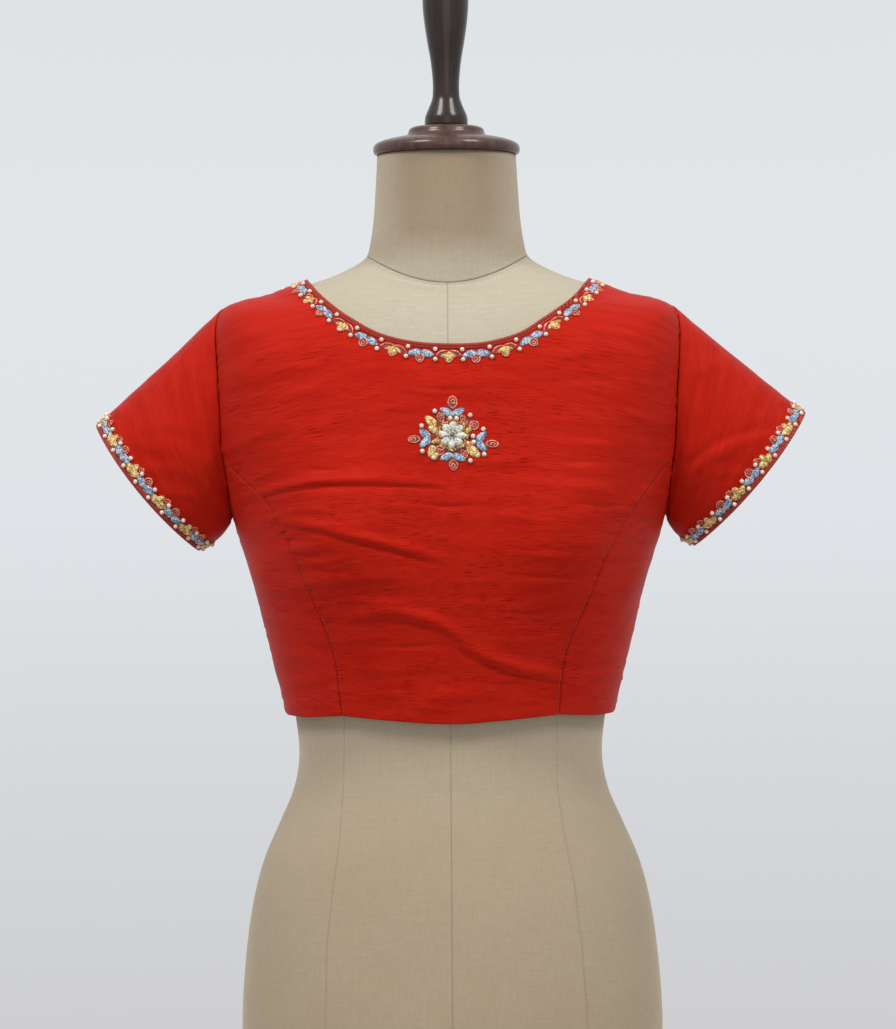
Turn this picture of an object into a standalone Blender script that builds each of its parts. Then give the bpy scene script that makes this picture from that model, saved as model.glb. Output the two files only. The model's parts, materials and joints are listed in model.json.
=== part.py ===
"""A choli blouse on a limbless dress form, at real size.

The blouse is red silk: a front panel with two princess side panels, two back panels that close with an
overlap at the centre back, two short sleeves, a corded edge at the neck and cuffs, and raised embroidered
borders. It rests on the shoulders and bust of a linen-covered dress form with a turned neck cap and finial.

Units are metres. +Z is up, the front faces -Y, +X is the right side as seen from the front.
The origin is on the floor, at the middle of the form's flat underside.
"""

import math

import bmesh
import bpy
import numpy as np

MM = 0.001

# Cloth and trim sizes, in metres
CLOTH = 0.0014           # thickness of the silk with its interlining
SEAM_GAP = 0.0003        # clearance between two pieces at a seam
REST_GAP = 0.0005        # the least clearance between cloth and form
CORD_RADIUS = 0.0013     # the corded edge at neck and cuffs
CORD_WIDTH = 0.0032      # what the cord takes from the cut edge, with its clearance
BORDER_WIDTH = 0.0140    # embroidered border, from the cord outward
BORDER_UNIT = 0.0190     # spacing of the leaf and loop units in a border
BORDER_GAP = 0.0008      # clearance between a border and the panel under it
CUFF_BORDER_GAP = 0.0009 # the same on a sleeve, whose wall curves more
BORDER_LOW = 0.0006      # border thickness between units
BORDER_HIGH = 0.0018     # border thickness on a unit
EDGE_SWELL = 0.35        # how much of that rise is left at a border's two edges
BORDER_OFF_CORD = 0.001  # a cuff border starts this far from the cord
OVERLAP = 0.020          # width of the closing overlap at the centre back
BACK_RADIUS = 0.110      # how far the centre back is from the form's axis

# The dress form: one row for each ring, from the floor up to the neck. All in millimetres but square.
# z_side, z_front and z_back are the ring's heights, so the upper rings lie over the shoulders like a collar.
# half_width, front and back are the ring's reach from the axis; square is how boxy its outline is.
# ease_* is how far the blouse stands off the form on that ring, and is not used where there is no blouse.
RING_COLUMNS = ("z_side", "z_front", "z_back", "half_width", "front", "back", "square",
                "ease_front", "ease_side", "ease_back")
RINGS = np.array([
    (0, 0, 0, 158.0, 98, 108, 2.3, 1, 1, 1),
    (30, 30, 30, 163.5, 101, 113, 2.3, 1, 1, 1),
    (62, 62, 62, 167.0, 103, 118, 2.3, 1, 1, 1),
    (98, 98, 98, 167.8, 103, 119, 2.3, 1, 1, 1),
    (140, 140, 140, 165.2, 101, 117, 2.3, 1, 1, 1),
    (184, 184, 184, 159.6, 98, 112, 2.3, 1, 1, 1),
    (222, 222, 222, 150.2, 94, 105, 2.3, 1, 1, 1),
    (254, 254, 254, 136.6, 90, 97, 2.3, 1, 1, 1),
    (280, 280, 280, 125.6, 86, 90, 2.3, 1, 1, 1),
    (306, 306, 306, 121.0, 84, 86, 2.3, 4, 3, 4),
    (335, 335, 335, 123.2, 86, 87, 2.3, 6, 6, 6),
    (368, 368, 368, 130.0, 92, 92, 2.3, 5, 6.2, 6),
    (408, 408, 408, 139.0, 101, 100, 2.35, 3.0, 7.0, 6),
    (448, 448, 448, 147.5, 106, 108, 2.4, 1.6, 8.2, 5),
    (484, 484, 484, 155.5, 107, 114, 2.45, 1.0, 11.5, 4),
    (522, 516, 518, 163.5, 106, 118, 2.6, 1.2, 14.0, 3),
    (560, 546, 550, 169.5, 103, 119, 2.75, 1.8, 17.0, 3.0),
    (598, 574, 582, 173.0, 99, 118, 2.8, 2.0, 16.0, 2.6),
    (630, 599, 612, 174.0, 94, 114, 2.7, 1.8, 15.0, 2.4),
    (652, 621, 640, 171.0, 88, 106, 2.5, 1.6, 13.0, 3.0),
    (664, 641, 664, 161.0, 80, 97, 2.3, 2.0, 6.0, 2.4),
    (671, 655, 684, 144.0, 72, 86, 2.15, 2.6, 2.2, 2.2),
    (679.5, 665, 699, 122.0, 65, 75, 2.05, 2.6, 1.6, 2.0),
    (688, 672, 709, 95.0, 60, 69, 2.0, 2.2, 1.4, 1.6),
    (697, 677, 716, 75.0, 57, 64, 2.0, 0.6, 0.6, 0.6),
    (705, 681, 722, 64.5, 55, 61, 2.0, 0.6, 0.6, 0.6),
    (718, 700, 733, 61.0, 54, 59, 2.0, 0.6, 0.6, 0.6),
    (736, 725, 745, 58.5, 54, 57, 2.0, 0.6, 0.6, 0.6),
    (760, 757, 763, 56.8, 54, 56, 2.0, 0.6, 0.6, 0.6),
    (785.5, 785.5, 785.5, 55.4, 54, 55, 2.0, 0.6, 0.6, 0.6),
])
BLOUSE_RINGS = (9.0, 24.0)          # the rings between which blouse points are looked for
SHOULDER_RING = 19                  # above it the rings grow narrower towards the neck
HEM_RINGS = (9, 13)                 # the level rings that the hem lies between

# Bust of the form: two low mounds
BUST_SPAN = 0.088                   # each mound's distance from the centre
BUST_HEIGHT = 0.482
BUST_RISE = 0.021
BUST_SPREAD = (0.050, 0.056)        # across, and up and down
BRIDGE_EASE = 0.005                 # cloth spans the hollow between the mounds
BRIDGE_SPREAD = (0.036, 0.060)

# Cut lines, in millimetres: across from the centre and up from the floor
NECKLINE = ((-111, 682), (-94, 665), (-78, 652.5), (-54, 639), (-27, 632), (0, 630),
            (28, 631), (55, 638), (79, 652), (97, 667.5), (114, 681.5))
PRINCESS_LEFT = ((-178, 542), (-165, 529), (-146, 512), (-124, 476), (-106, 434), (-90, 391), (-84, 342))
PRINCESS_RIGHT = ((174, 541), (160, 528), (144, 509), (124, 473), (106.5, 431), (89, 388), (84, 342))
HEM_FRONT = ((-84, 342), (-42, 338), (0, 335.5), (42, 338), (84, 342))
HEM_SIDE_DROP = (342, 340, 346)     # height at the princess seam, at the low point, and at the side seam
HEM_BACK = (346, 342, 340)          # height at the side seam, a little behind it, and at the centre back
NECK_BACK_HEIGHT = 641              # the neckline's height at the centre back
ARMHOLE_MIDDLE = (3, 580.5)         # along Y, and up
ARMHOLE_REACH = (54, 57, 82.3)      # to the front, to the back, and up and down

# Largest folds: a row for each, in millimetres.
# Columns: start across, up; middle across, up; end across, up; width; height.
FRONT_FOLDS = (
    (-146, 515, -100, 528, -10, 521, 7, 2.6),
    (-95, 487, -55, 471, -12, 466, 10, 3.4),
    (-66, 424, -18, 430, 16, 396, 9, 3.2),
    (16, 396, 44, 380, 84, 374, 8, 2.6),
    (-118, 470, -104, 478, -84, 482, 6, 1.8),
    (-112, 446, -98, 452, -80, 452, 6, 1.6),
    (128, 500, 142, 510, 150, 524, 6, 2.0),
    (88, 470, 112, 478, 122, 480, 7, 1.6),
    (-24, 602, 0, 597, 28, 601, 8, 1.4),
    (78, 618, 104, 622, 130, 624, 7, 1.6),
    (-160, 556, -130, 568, -104, 580, 9, 1.6),
    (-20, 361, 2, 356, 28, 361, 7, 1.8),
    (-164, 600, -140, 612, -118, 632, 9, 1.2),
    (-146, 470, -140, 452, -132, 430, 8, 2.2),
    (146, 472, 140, 450, 128, 426, 8, 2.4),
)
BACK_FOLDS = (
    (-150, 540, -110, 520, -60, 506, 10, 2.6),
    (150, 538, 112, 516, 58, 500, 10, 2.6),
    (-120, 450, -70, 440, -14, 446, 9, 2.4),
    (118, 446, 72, 434, 20, 438, 9, 2.6),
    (-112, 400, -70, 392, -30, 398, 8, 2.4),
    (110, 396, 70, 386, 30, 390, 8, 2.2),
    (-120, 600, -70, 590, -24, 596, 10, 1.8),
    (118, 602, 70, 592, 24, 598, 10, 1.6),
)
# Columns: start turn in degrees, start share along the sleeve, end turn, end share, width, height.
SLEEVE_FOLDS = {
    "left": ((150, 0.05, 60, 0.75, 10, 2.4), (120, 0.0, 85, 0.8, 9, 1.8), (230, 0.1, 300, 0.7, 10, 2.2)),
    "right": ((140, 0.05, 48, 0.70, 10, 3.0), (115, 0.1, 80, 0.75, 8, 1.6), (225, 0.1, 305, 0.7, 10, 2.2)),
}

# Sleeves, in millimetres. Columns: the cuff's upper corner across, up; its lower corner across, up;
# half its depth; how far its middle bows out.
CUFFS = {
    "left": (-281, 570, -202, 472, 45, 5),
    "right": (285, 576.5, 198, 473.5, 46, 5),
}
CUFF_MIDDLE_Y = 0.003

# The motif under the neckline
MOTIF_MIDDLE = (3, 559.5)
MOTIF_ARMS = ((0, 35), (45, 27), (90, 32), (135, 26), (180, 33), (225, 25), (270, 26), (315, 27))
MOTIF_VALLEY = 0.70                 # the outline between two arms, as a share of them
MOTIF_RISE = 0.0014
MOTIF_GAP = 0.0006                  # clearance round the stone rosette
STONE_RADIUS = 0.0112
STONE_PETALS = 8
STONE_RISE = 0.0030

# Neck cap and finial: profile rows are radius and height above the form's neck, in millimetres
CAP_PROFILE = ((53, 0.0), (57.0, 0.6), (58.6, 3.2), (58.4, 6.4), (56.4, 9.0), (51, 11.4), (42, 13.6),
               (33, 15.4), (30.8, 17.4), (29.6, 20.6), (26.5, 22.4), (22, 22.8))
FINIAL_PROFILE = ((16.4, 0.0), (17.1, 1.0), (17.2, 3.4), (16.7, 8.0), (13.6, 15.5), (11.2, 22.0),
                  (10.6, 28.0), (10.7, 37.0), (12.2, 52.0), (14.6, 66.0), (17.0, 82.0), (18.4, 98.0),
                  (17.8, 110.0), (15.2, 119.5), (10.5, 126.5), (5.0, 130.0))

# Where points are looked for: angles round the form, and the two axes that are known
FRONT_ANGLES = (-math.pi / 2, math.pi / 2)
SIDE_ANGLES = {-1: (-math.radians(165), -math.radians(15)), 1: (math.radians(15), math.radians(165))}
FRONT_AXES = [0, 2]
SIDE_AXES = [1, 2]

# Mesh densities
FORM_SIDES = 40
SHOULDER_COLUMNS = 5
NECK_COLUMNS = 20
SEAM_ROWS = 20
BACK_SEAM_ROWS = 10
ARMHOLE_FRONT_ROWS = 8
ARMHOLE_BACK_ROWS = 13
SIDE_COLUMNS = 8
BACK_NECK_COLUMNS = 8
SLEEVE_ROWS = 7
CAP_STEPS = 22
FINIAL_STEPS = 16
FINE_LINE = 81           # points on a neckline before it is shared out evenly
FRONT_BORDER_POINTS = 49
BACK_BORDER_POINTS = 25
BORDER_STEPS = 24
NECK_CORD_POINTS = 53
CUFF_CORD_POINTS = 26
MOTIF_POINTS = 40


def smooth_columns(table, place):
    """Reads a table of rows at fractional row numbers, with a smooth curve through the rows."""
    place = np.clip(place, 0, len(table) - 1)
    low = np.minimum(place.astype(int), len(table) - 2)
    share = (place - low)[..., None]
    padded = np.vstack([2 * table[0] - table[1], table, 2 * table[-1] - table[-2]])
    start, end = padded[low + 1], padded[low + 2]
    leave, arrive = (end - padded[low]) / 2, (padded[low + 3] - start) / 2
    square, cube = share ** 2, share ** 3
    return (start * (2 * cube - 3 * square + 1) + leave * (cube - 2 * square + share)
            + end * (3 * square - 2 * cube) + arrive * (cube - square))


def ring_sizes(ring):
    values = smooth_columns(RINGS, np.asarray(ring, float))
    sizes = {name: values[..., i] * MM for i, name in enumerate(RING_COLUMNS)}
    sizes["square"] = sizes["square"] / MM
    return sizes


def ease_step(low, high, value):
    share = np.clip((value - low) / (high - low), 0, 1)
    return share * share * (3 - 2 * share)


def form_point(angle, ring):
    """A point on the form. The angle runs from the front centre, 90 degrees being the right side."""
    size = ring_sizes(ring)
    across, ahead = np.sin(angle), np.cos(angle)
    depth = np.where(ahead > 0, size["front"], size["back"])
    power = size["square"]
    sideways, endways = np.abs(across) / size["half_width"], np.abs(ahead) / depth
    reach = (sideways ** power + endways ** power) ** (-1 / power)
    x, y = reach * across, -reach * ahead
    middle = np.where(ahead > 0, size["z_front"], size["z_back"])
    z = middle + (size["z_side"] - middle) * (x / size["half_width"]) ** 2
    wide, tall = BUST_SPREAD
    mound = np.exp(-((np.abs(x) - BUST_SPAN) / wide) ** 2 - ((z - BUST_HEIGHT) / tall) ** 2)
    y = y - BUST_RISE * mound * ease_step(0.0, 0.5, ahead)
    return np.stack([x, y, z], axis=-1)


def form_normal(angle, ring):
    turn, rise = 1e-3, 1e-2
    around = form_point(angle + turn, ring) - form_point(angle - turn, ring)
    up = form_point(angle, ring + rise) - form_point(angle, ring - rise)
    normal = np.cross(around, up)
    return normal / np.linalg.norm(normal, axis=-1, keepdims=True)


def fold_height(x, z, folds):
    """Height of the folds at places across and up: soft ridges that fade towards both ends."""
    total = np.zeros_like(x)
    steps = np.linspace(0, 1, 17)
    for fold in folds:
        x1, z1, x2, z2, x3, z3, width, height = (value * MM for value in fold)
        line_x = (1 - steps) ** 2 * x1 + 2 * steps * (1 - steps) * x2 + steps ** 2 * x3
        line_z = (1 - steps) ** 2 * z1 + 2 * steps * (1 - steps) * z2 + steps ** 2 * z3
        away = np.hypot(x[..., None] - line_x, z[..., None] - line_z)
        nearest = steps[np.argmin(away, axis=-1)]
        fade = 0.35 + 0.65 * np.sin(np.pi * np.clip(nearest, 0.02, 0.98))
        total = np.maximum(total, height * fade * np.exp(-(away.min(axis=-1) / width) ** 2))
    return total


def cloth_point(angle, ring, out=0.0, folded=True):
    """A point on the blouse body, moved out from its inner face by the given distance."""
    size = ring_sizes(ring)
    base = form_point(angle, ring)
    normal = form_normal(angle, ring)
    ahead = np.cos(angle)
    facing = np.where(ahead > 0, size["ease_front"], size["ease_back"])
    ease = facing + (size["ease_side"] - facing) * np.sin(angle) ** 4
    wide, tall = BRIDGE_SPREAD
    bridge = np.exp(-(base[..., 0] / wide) ** 2 - ((base[..., 2] - BUST_HEIGHT) / tall) ** 2)
    ease = ease + BRIDGE_EASE * bridge * (ahead > 0)
    if folded:
        front = fold_height(base[..., 0], base[..., 2], FRONT_FOLDS)
        back = fold_height(base[..., 0], base[..., 2], BACK_FOLDS)
        ease = ease + np.where(ahead > 0, front, back) * ease_step(0.0, 0.25, np.abs(ahead))
    ease = np.maximum(ease, REST_GAP)
    return base + normal * (ease + out)[..., None]


def find_spots(targets, axes, angles):
    """Finds angle and ring for points that are known along two axes, within a range of angles."""
    targets = np.asarray(targets, float)
    trial_angle, trial_ring = np.meshgrid(np.linspace(*angles, 61), np.linspace(*BLOUSE_RINGS, 91))
    trial = cloth_point(trial_angle, trial_ring, folded=False)[..., axes].reshape(-1, 2)
    nearest = np.argmin(((trial[None] - targets[:, None]) ** 2).sum(-1), axis=1)
    spot = np.stack([trial_angle.ravel()[nearest], trial_ring.ravel()[nearest]], axis=-1)
    for _ in range(12):
        here = cloth_point(spot[:, 0], spot[:, 1], folded=False)[:, axes]
        turned = cloth_point(spot[:, 0] + 1e-4, spot[:, 1], folded=False)[:, axes]
        raised = cloth_point(spot[:, 0], spot[:, 1] + 1e-3, folded=False)[:, axes]
        slopes = np.stack([(turned - here) / 1e-4, (raised - here) / 1e-3], axis=-1)
        step = np.linalg.solve(slopes, (targets - here)[..., None])[..., 0]
        spot = spot + np.clip(step, (-0.1, -0.5), (0.1, 0.5))
        spot[:, 0] = np.clip(spot[:, 0], *angles)
    return spot


def smooth_line(points, shares):
    """Reads a line through points in the plane at even shares of its length, in metres."""
    points = np.asarray(points, float) * MM
    fine = smooth_columns(points, np.linspace(0, len(points) - 1, 40 * len(points)))
    lengths = np.concatenate([[0], np.cumsum(np.linalg.norm(np.diff(fine, axis=0), axis=1))])
    wanted = np.asarray(shares) * lengths[-1]
    return np.stack([np.interp(wanted, lengths, fine[:, i]) for i in (0, 1)], axis=-1)


def armhole_point(turn):
    """Place along Y and up on the armhole oval. A turn of 0 is the shoulder point, 180 the underarm."""
    turn = np.asarray(turn, float)
    ahead = np.sin(turn)
    reach = np.where(ahead > 0, ARMHOLE_REACH[0], ARMHOLE_REACH[1])
    y = ARMHOLE_MIDDLE[0] * np.abs(ahead) - reach * ahead
    z = ARMHOLE_MIDDLE[1] + ARMHOLE_REACH[2] * np.cos(turn)
    return np.stack([y, z], axis=-1) * MM


def armhole_spots(side, turns):
    spots = find_spots(armhole_point(turns), SIDE_AXES, SIDE_ANGLES[side])
    level = np.isclose(np.sin(turns), 0, atol=1e-9)
    spots[level, 0] = side * math.pi / 2
    return spots


def side_seam_spots(side, low, high, count):
    """Points down the side, from the hem up to the underarm, by height."""
    rings = np.linspace(*BLOUSE_RINGS, 400)
    heights = cloth_point(np.full(400, side * math.pi / 2), rings, folded=False)[:, 2]
    wanted = np.interp(np.linspace(low, high, count), heights, rings)
    return np.stack([np.full(count, side * math.pi / 2), wanted], axis=-1)


def princess_top_turn(side):
    line = PRINCESS_LEFT if side < 0 else PRINCESS_RIGHT
    return math.acos((line[0][1] - ARMHOLE_MIDDLE[1]) / ARMHOLE_REACH[2])


def front_turns(side):
    """Turns on the armhole from the shoulder point to the princess seam."""
    return np.linspace(0, princess_top_turn(side), ARMHOLE_FRONT_ROWS + 1)


def underarm_turns(side):
    """Turns on the armhole from the princess seam to the side seam."""
    return np.linspace(princess_top_turn(side), math.pi, SIDE_COLUMNS + 1)


def back_turns():
    """Turns on the armhole from the side seam round the back to the shoulder point."""
    return np.linspace(math.pi, 2 * math.pi, ARMHOLE_BACK_ROWS + 1)


def princess_spots(side):
    """The princess seam from the hem up, ending exactly on the armhole."""
    line = PRINCESS_LEFT if side < 0 else PRINCESS_RIGHT
    spots = find_spots(smooth_line(line[::-1], np.linspace(0, 1, SEAM_ROWS + 1)), FRONT_AXES, FRONT_ANGLES)
    end = armhole_spots(side, np.array([princess_top_turn(side)]))[0]
    shift = end - spots[-1]
    blend = ease_step(0.55, 1.0, np.linspace(0, 1, SEAM_ROWS + 1))[:, None]
    return spots + shift * blend


def join_lines(*lines):
    return np.vstack([lines[0]] + [line[1:] for line in lines[1:]])


def step_towards(spots, wanted):
    """Moves spots over the cloth so that their points come as near as they can to the wanted points."""
    here = cloth_point(spots[..., 0], spots[..., 1], folded=False)
    turned = (cloth_point(spots[..., 0] + 1e-4, spots[..., 1], folded=False) - here) / 1e-4
    raised = (cloth_point(spots[..., 0], spots[..., 1] + 1e-3, folded=False) - here) / 1e-3
    away = wanted - here
    a, b, c = (turned * turned).sum(-1), (turned * raised).sum(-1), (raised * raised).sum(-1)
    p, q = (turned * away).sum(-1), (raised * away).sum(-1)
    scale = a * c - b * b
    step = np.stack([(c * p - b * q) / scale, (a * q - b * p) / scale], axis=-1)
    return spots + np.clip(step, (-0.15, -0.7), (0.15, 0.7))


def blend_edges(bottom, top, left, right):
    across = np.linspace(0, 1, len(bottom))[None, :, None]
    up = np.linspace(0, 1, len(left))[:, None, None]
    corners = ((1 - up) * ((1 - across) * bottom[0] + across * bottom[-1])
               + up * ((1 - across) * top[0] + across * top[-1]))
    return ((1 - up) * bottom[None] + up * top[None] + (1 - across) * left[:, None]
            + across * right[:, None] - corners)


def patch(bottom, top, left, right):
    """Fills four edge lines with a grid of spots: rows run from the bottom line to the top line."""
    edges = (bottom, top, left, right)
    spots = blend_edges(*edges)
    wanted = blend_edges(*(cloth_point(edge[:, 0], edge[:, 1], folded=False) for edge in edges))
    for _ in range(10):
        spots[1:-1, 1:-1] = step_towards(spots[1:-1, 1:-1], wanted[1:-1, 1:-1])
    return spots


def pull_in(grid, gap, edges):
    """Draws the named edges of a grid of points inward, each towards its next row or column."""
    grid = grid.copy()
    for edge in edges:
        row, inner = {"bottom": (np.s_[0], np.s_[1]), "top": (np.s_[-1], np.s_[-2]),
                      "left": (np.s_[:, 0], np.s_[:, 1]), "right": (np.s_[:, -1], np.s_[:, -2])}[edge]
        step = grid[inner] - grid[row]
        grid[row] = grid[row] + step * (gap / np.linalg.norm(step, axis=-1, keepdims=True))
    return grid


def make_material(name, colour, roughness, metallic=0.0, coat=0.0):
    material = bpy.data.materials.new(name)
    material.use_nodes = True
    shader = material.node_tree.nodes["Principled BSDF"]
    shader.inputs["Base Color"].default_value = (*colour, 1.0)
    shader.inputs["Roughness"].default_value = roughness
    shader.inputs["Metallic"].default_value = metallic
    shader.inputs["Coat Weight"].default_value = coat
    return material


def add_object(name, mesh, material, collection):
    mesh.materials.append(material)
    mesh.shade_smooth()
    mesh.set_sharp_from_angle(angle=math.radians(40))
    made = bpy.data.objects.new(name, mesh)
    collection.objects.link(made)
    return made


def add_wall(name, inner, outer, material, collection, around=False):
    """Lofts a closed wall between two grids of points. With around, its columns close into a tube."""
    rows, columns = inner.shape[:2]
    model = bmesh.new()
    faces = []
    sheets = [[[model.verts.new(point) for point in row] for row in grid] for grid in (inner, outer)]
    spans = columns if around else columns - 1
    for row in range(rows - 1):
        for column in range(spans):
            after = (column + 1) % columns
            for sheet in sheets:
                faces.append([sheet[row][column], sheet[row][after],
                              sheet[row + 1][after], sheet[row + 1][column]])
    for row in (0, rows - 1):
        for column in range(spans):
            after = (column + 1) % columns
            faces.append([sheets[0][row][column], sheets[0][row][after],
                          sheets[1][row][after], sheets[1][row][column]])
    if not around:
        for column in (0, columns - 1):
            for row in range(rows - 1):
                faces.append([sheets[0][row][column], sheets[0][row + 1][column],
                              sheets[1][row + 1][column], sheets[1][row][column]])
    for face in faces:
        model.faces.new(face)
    bmesh.ops.recalc_face_normals(model, faces=model.faces)
    mesh = bpy.data.meshes.new(name)
    model.to_mesh(mesh)
    model.free()
    return add_object(name, mesh, material, collection)


def panel_grid(spots, edges, lift=None):
    """Inner and outer points of a panel on its spots, drawn in at its seams."""
    extra = np.zeros(spots.shape[:2]) if lift is None else lift
    inner = cloth_point(spots[..., 0], spots[..., 1], extra)
    outer = cloth_point(spots[..., 0], spots[..., 1], extra + CLOTH)
    return pull_in(inner, SEAM_GAP / 2, edges), pull_in(outer, SEAM_GAP / 2, edges)


def front_neckline():
    """The front neckline as a close line of spots, from the left neck point to the right one."""
    line = find_spots(smooth_line(NECKLINE, np.linspace(0, 1, FINE_LINE)), FRONT_AXES, FRONT_ANGLES)
    return even_spots(pinned(line, neck_point(-1), neck_point(1)), FINE_LINE)[0]


def cut_below_cord(line, side):
    """The panel's own edge, which the cord's width keeps off the neckline. It ends on the shoulder lines."""
    cut = walk(line, np.full(len(line), CORD_WIDTH), side)
    ends = [neck_point(-1, CORD_WIDTH), neck_point(1, CORD_WIDTH)]
    return even_spots(pinned(cut, *ends), NECK_COLUMNS + 1)[0]


def neck_point(side, further=0.0):
    """Where the neckline meets the shoulder line, or further out along that line, as a spot."""
    rings = np.linspace(*BLOUSE_RINGS, 400)
    line = cloth_point(np.full(400, side * math.pi / 2), rings, folded=False)
    upper = rings > SHOULDER_RING
    target = abs(NECKLINE[0 if side < 0 else -1][0]) * MM + further
    ring = np.interp(-target, -np.abs(line[upper, 0]), rings[upper])
    return np.array([side * math.pi / 2, ring])


def pinned(spots, first, last):
    """Moves a line of spots so that it ends exactly on two given spots."""
    share = np.linspace(0, 1, len(spots))[:, None]
    near = ease_step(0.85, 1.0, 1 - share)
    far = ease_step(0.85, 1.0, share)
    return spots + (first - spots[0]) * near + (last - spots[-1]) * far


def even_rings(start, end, count):
    return start + (end - start) * np.linspace(0, 1, count)[:, None]


def walk(spots, reach, side):
    """Moves each spot of a line over the cloth, square to the line, by its own distance."""
    steps = 6
    moved = spots.copy()
    base = cloth_point(spots[:, 0], spots[:, 1], folded=False)
    along = np.gradient(base, axis=0)
    along /= np.linalg.norm(along, axis=-1, keepdims=True)
    for _ in range(steps):
        here = cloth_point(moved[:, 0], moved[:, 1], folded=False)
        outward = np.cross(form_normal(moved[:, 0], moved[:, 1]), along) * side
        outward /= np.linalg.norm(outward, axis=-1, keepdims=True)
        moved = step_towards(moved, here + outward * np.reshape(reach / steps, (-1, 1)))
    return moved


def even_spots(spots, count):
    """Spots at even distances along a line of spots."""
    points = cloth_point(spots[:, 0], spots[:, 1], folded=False)
    lengths = np.concatenate([[0], np.cumsum(np.linalg.norm(np.diff(points, axis=0), axis=1))])
    wanted = np.linspace(0, lengths[-1], count)
    return np.stack([np.interp(wanted, lengths, spots[:, i]) for i in (0, 1)], axis=-1), lengths[-1]


def front_edges():
    """The four edge lines of the front middle panel."""
    sides = {}
    for side in (-1, 1):
        turns = front_turns(side)[::-1]
        sides[side] = join_lines(princess_spots(side), armhole_spots(side, turns))
    neck = {side: neck_point(side, CORD_WIDTH) for side in (-1, 1)}
    top = join_lines(even_rings(sides[-1][-1], neck[-1], SHOULDER_COLUMNS + 1),
                     cut_below_cord(front_neckline(), -1),
                     even_rings(neck[1], sides[1][-1], SHOULDER_COLUMNS + 1))
    columns = 2 * SHOULDER_COLUMNS + NECK_COLUMNS + 1
    bottom = find_spots(smooth_line(HEM_FRONT, np.linspace(0, 1, columns)), FRONT_AXES, FRONT_ANGLES)
    bottom = pinned(bottom, sides[-1][0], sides[1][0])
    return bottom, top, sides[-1], sides[1]


def side_panel_edges(side):
    """Edge lines of a princess side panel, from the side seam to the princess seam."""
    princess = princess_spots(side)
    low, dip, high = (value * MM for value in HEM_SIDE_DROP)
    underarm = armhole_point(math.pi)[1]
    seam = side_seam_spots(side, high, underarm, SEAM_ROWS + 1)
    seam[-1] = armhole_spots(side, np.array([math.pi]))[0]
    turns = underarm_turns(side)[::-1]
    top = armhole_spots(side, turns)
    share = np.linspace(0, 1, SIDE_COLUMNS + 1)
    heights = np.interp(share, (0, 0.25, 0.6, 1), (high, dip + 0.001, dip, low))
    angles = seam[0, 0] + (princess[0, 0] - seam[0, 0]) * share
    bottom = hem_spots(angles, heights)
    return pinned(bottom, seam[0], princess[0]), top, seam, princess


def hem_spots(angles, heights):
    """Spots at the given angles and heights near the hem, where the rings are level."""
    rings = np.linspace(*HEM_RINGS, 200)
    levels = cloth_point(np.zeros(200), rings, folded=False)[:, 2]
    return np.stack([angles, np.interp(heights, levels, rings)], axis=-1)


def back_edges(side):
    """Edge lines of a back panel, from the side seam to the centre back."""
    high = HEM_BACK[0] * MM
    seam = side_seam_spots(side, high, armhole_point(math.pi)[1], SEAM_ROWS + 1)
    seam = seam[::SEAM_ROWS // BACK_SEAM_ROWS]
    seam[-1] = armhole_spots(side, np.array([math.pi]))[0]
    turns = back_turns()
    outer = join_lines(seam, armhole_spots(side, turns))
    neck = neck_point(side, CORD_WIDTH)
    centre = side * (math.pi + OVERLAP / 2 / BACK_RADIUS)
    return outer, neck, centre


def back_neckline(side, count):
    """The back neckline: a smooth drop from the shoulder line to its level stretch at the centre."""
    neck = neck_point(side)
    centre = side * (math.pi + OVERLAP / 2 / BACK_RADIUS)
    low = float(np.interp(NECK_BACK_HEIGHT, RINGS[:, 2], np.arange(len(RINGS))))
    angles = np.linspace(neck[0], centre, FINE_LINE)
    share = np.sin(np.minimum(np.abs(angles) - math.pi / 2, math.pi / 2)) ** 1.3
    return even_spots(np.stack([angles, neck[1] + (low - neck[1]) * share], axis=-1), count)[0]


def add_front(material, collection):
    bottom, top, left, right = front_edges()
    spots = patch(bottom, top, left, right)
    inner, outer = panel_grid(spots, ("left", "right", "top"))
    return add_wall("front_center", inner, outer, material, collection)


def add_side_panels(material, collection):
    for side, name in ((-1, "front_side_left"), (1, "front_side_right")):
        bottom, top, seam, princess = side_panel_edges(side)
        spots = patch(bottom, top, seam, princess)
        inner, outer = panel_grid(spots, ("left", "right", "top"))
        add_wall(name, inner, outer, material, collection)


def overlap_lift(x, side):
    """The right back panel rises over the left one where they overlap."""
    if side < 0:
        return np.zeros_like(x)
    return (CLOTH + 1.5 * SEAM_GAP) * (1 - ease_step(OVERLAP, 2 * OVERLAP, x))


def back_grid(side):
    """Grid of spots of one back panel, rows from hem to neck, columns from the side to the centre."""
    outer_line, neck, centre = back_edges(side)
    line = back_neckline(side, FINE_LINE)
    cut = walk(line, np.full(len(line), CORD_WIDTH), -side)
    cut = even_spots(pinned(cut, neck, np.array([centre, cut[-1, 1]])), BACK_NECK_COLUMNS + 1)[0]
    top = join_lines(even_rings(outer_line[-1], neck, SHOULDER_COLUMNS + 1), cut)
    share = np.linspace(0, 1, len(top))
    angles = outer_line[0, 0] + (centre - outer_line[0, 0]) * share
    heights = np.interp(share, (0, 0.4, 1), [value * MM for value in HEM_BACK])
    bottom = hem_spots(angles, heights)
    bottom = pinned(bottom, outer_line[0], np.array([centre, bottom[-1, 1]]))
    inner_line = np.stack([np.full(len(outer_line), centre),
                           np.linspace(bottom[-1, 1], top[-1, 1], len(outer_line))], axis=-1)
    return patch(bottom, top, outer_line, inner_line)


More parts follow.
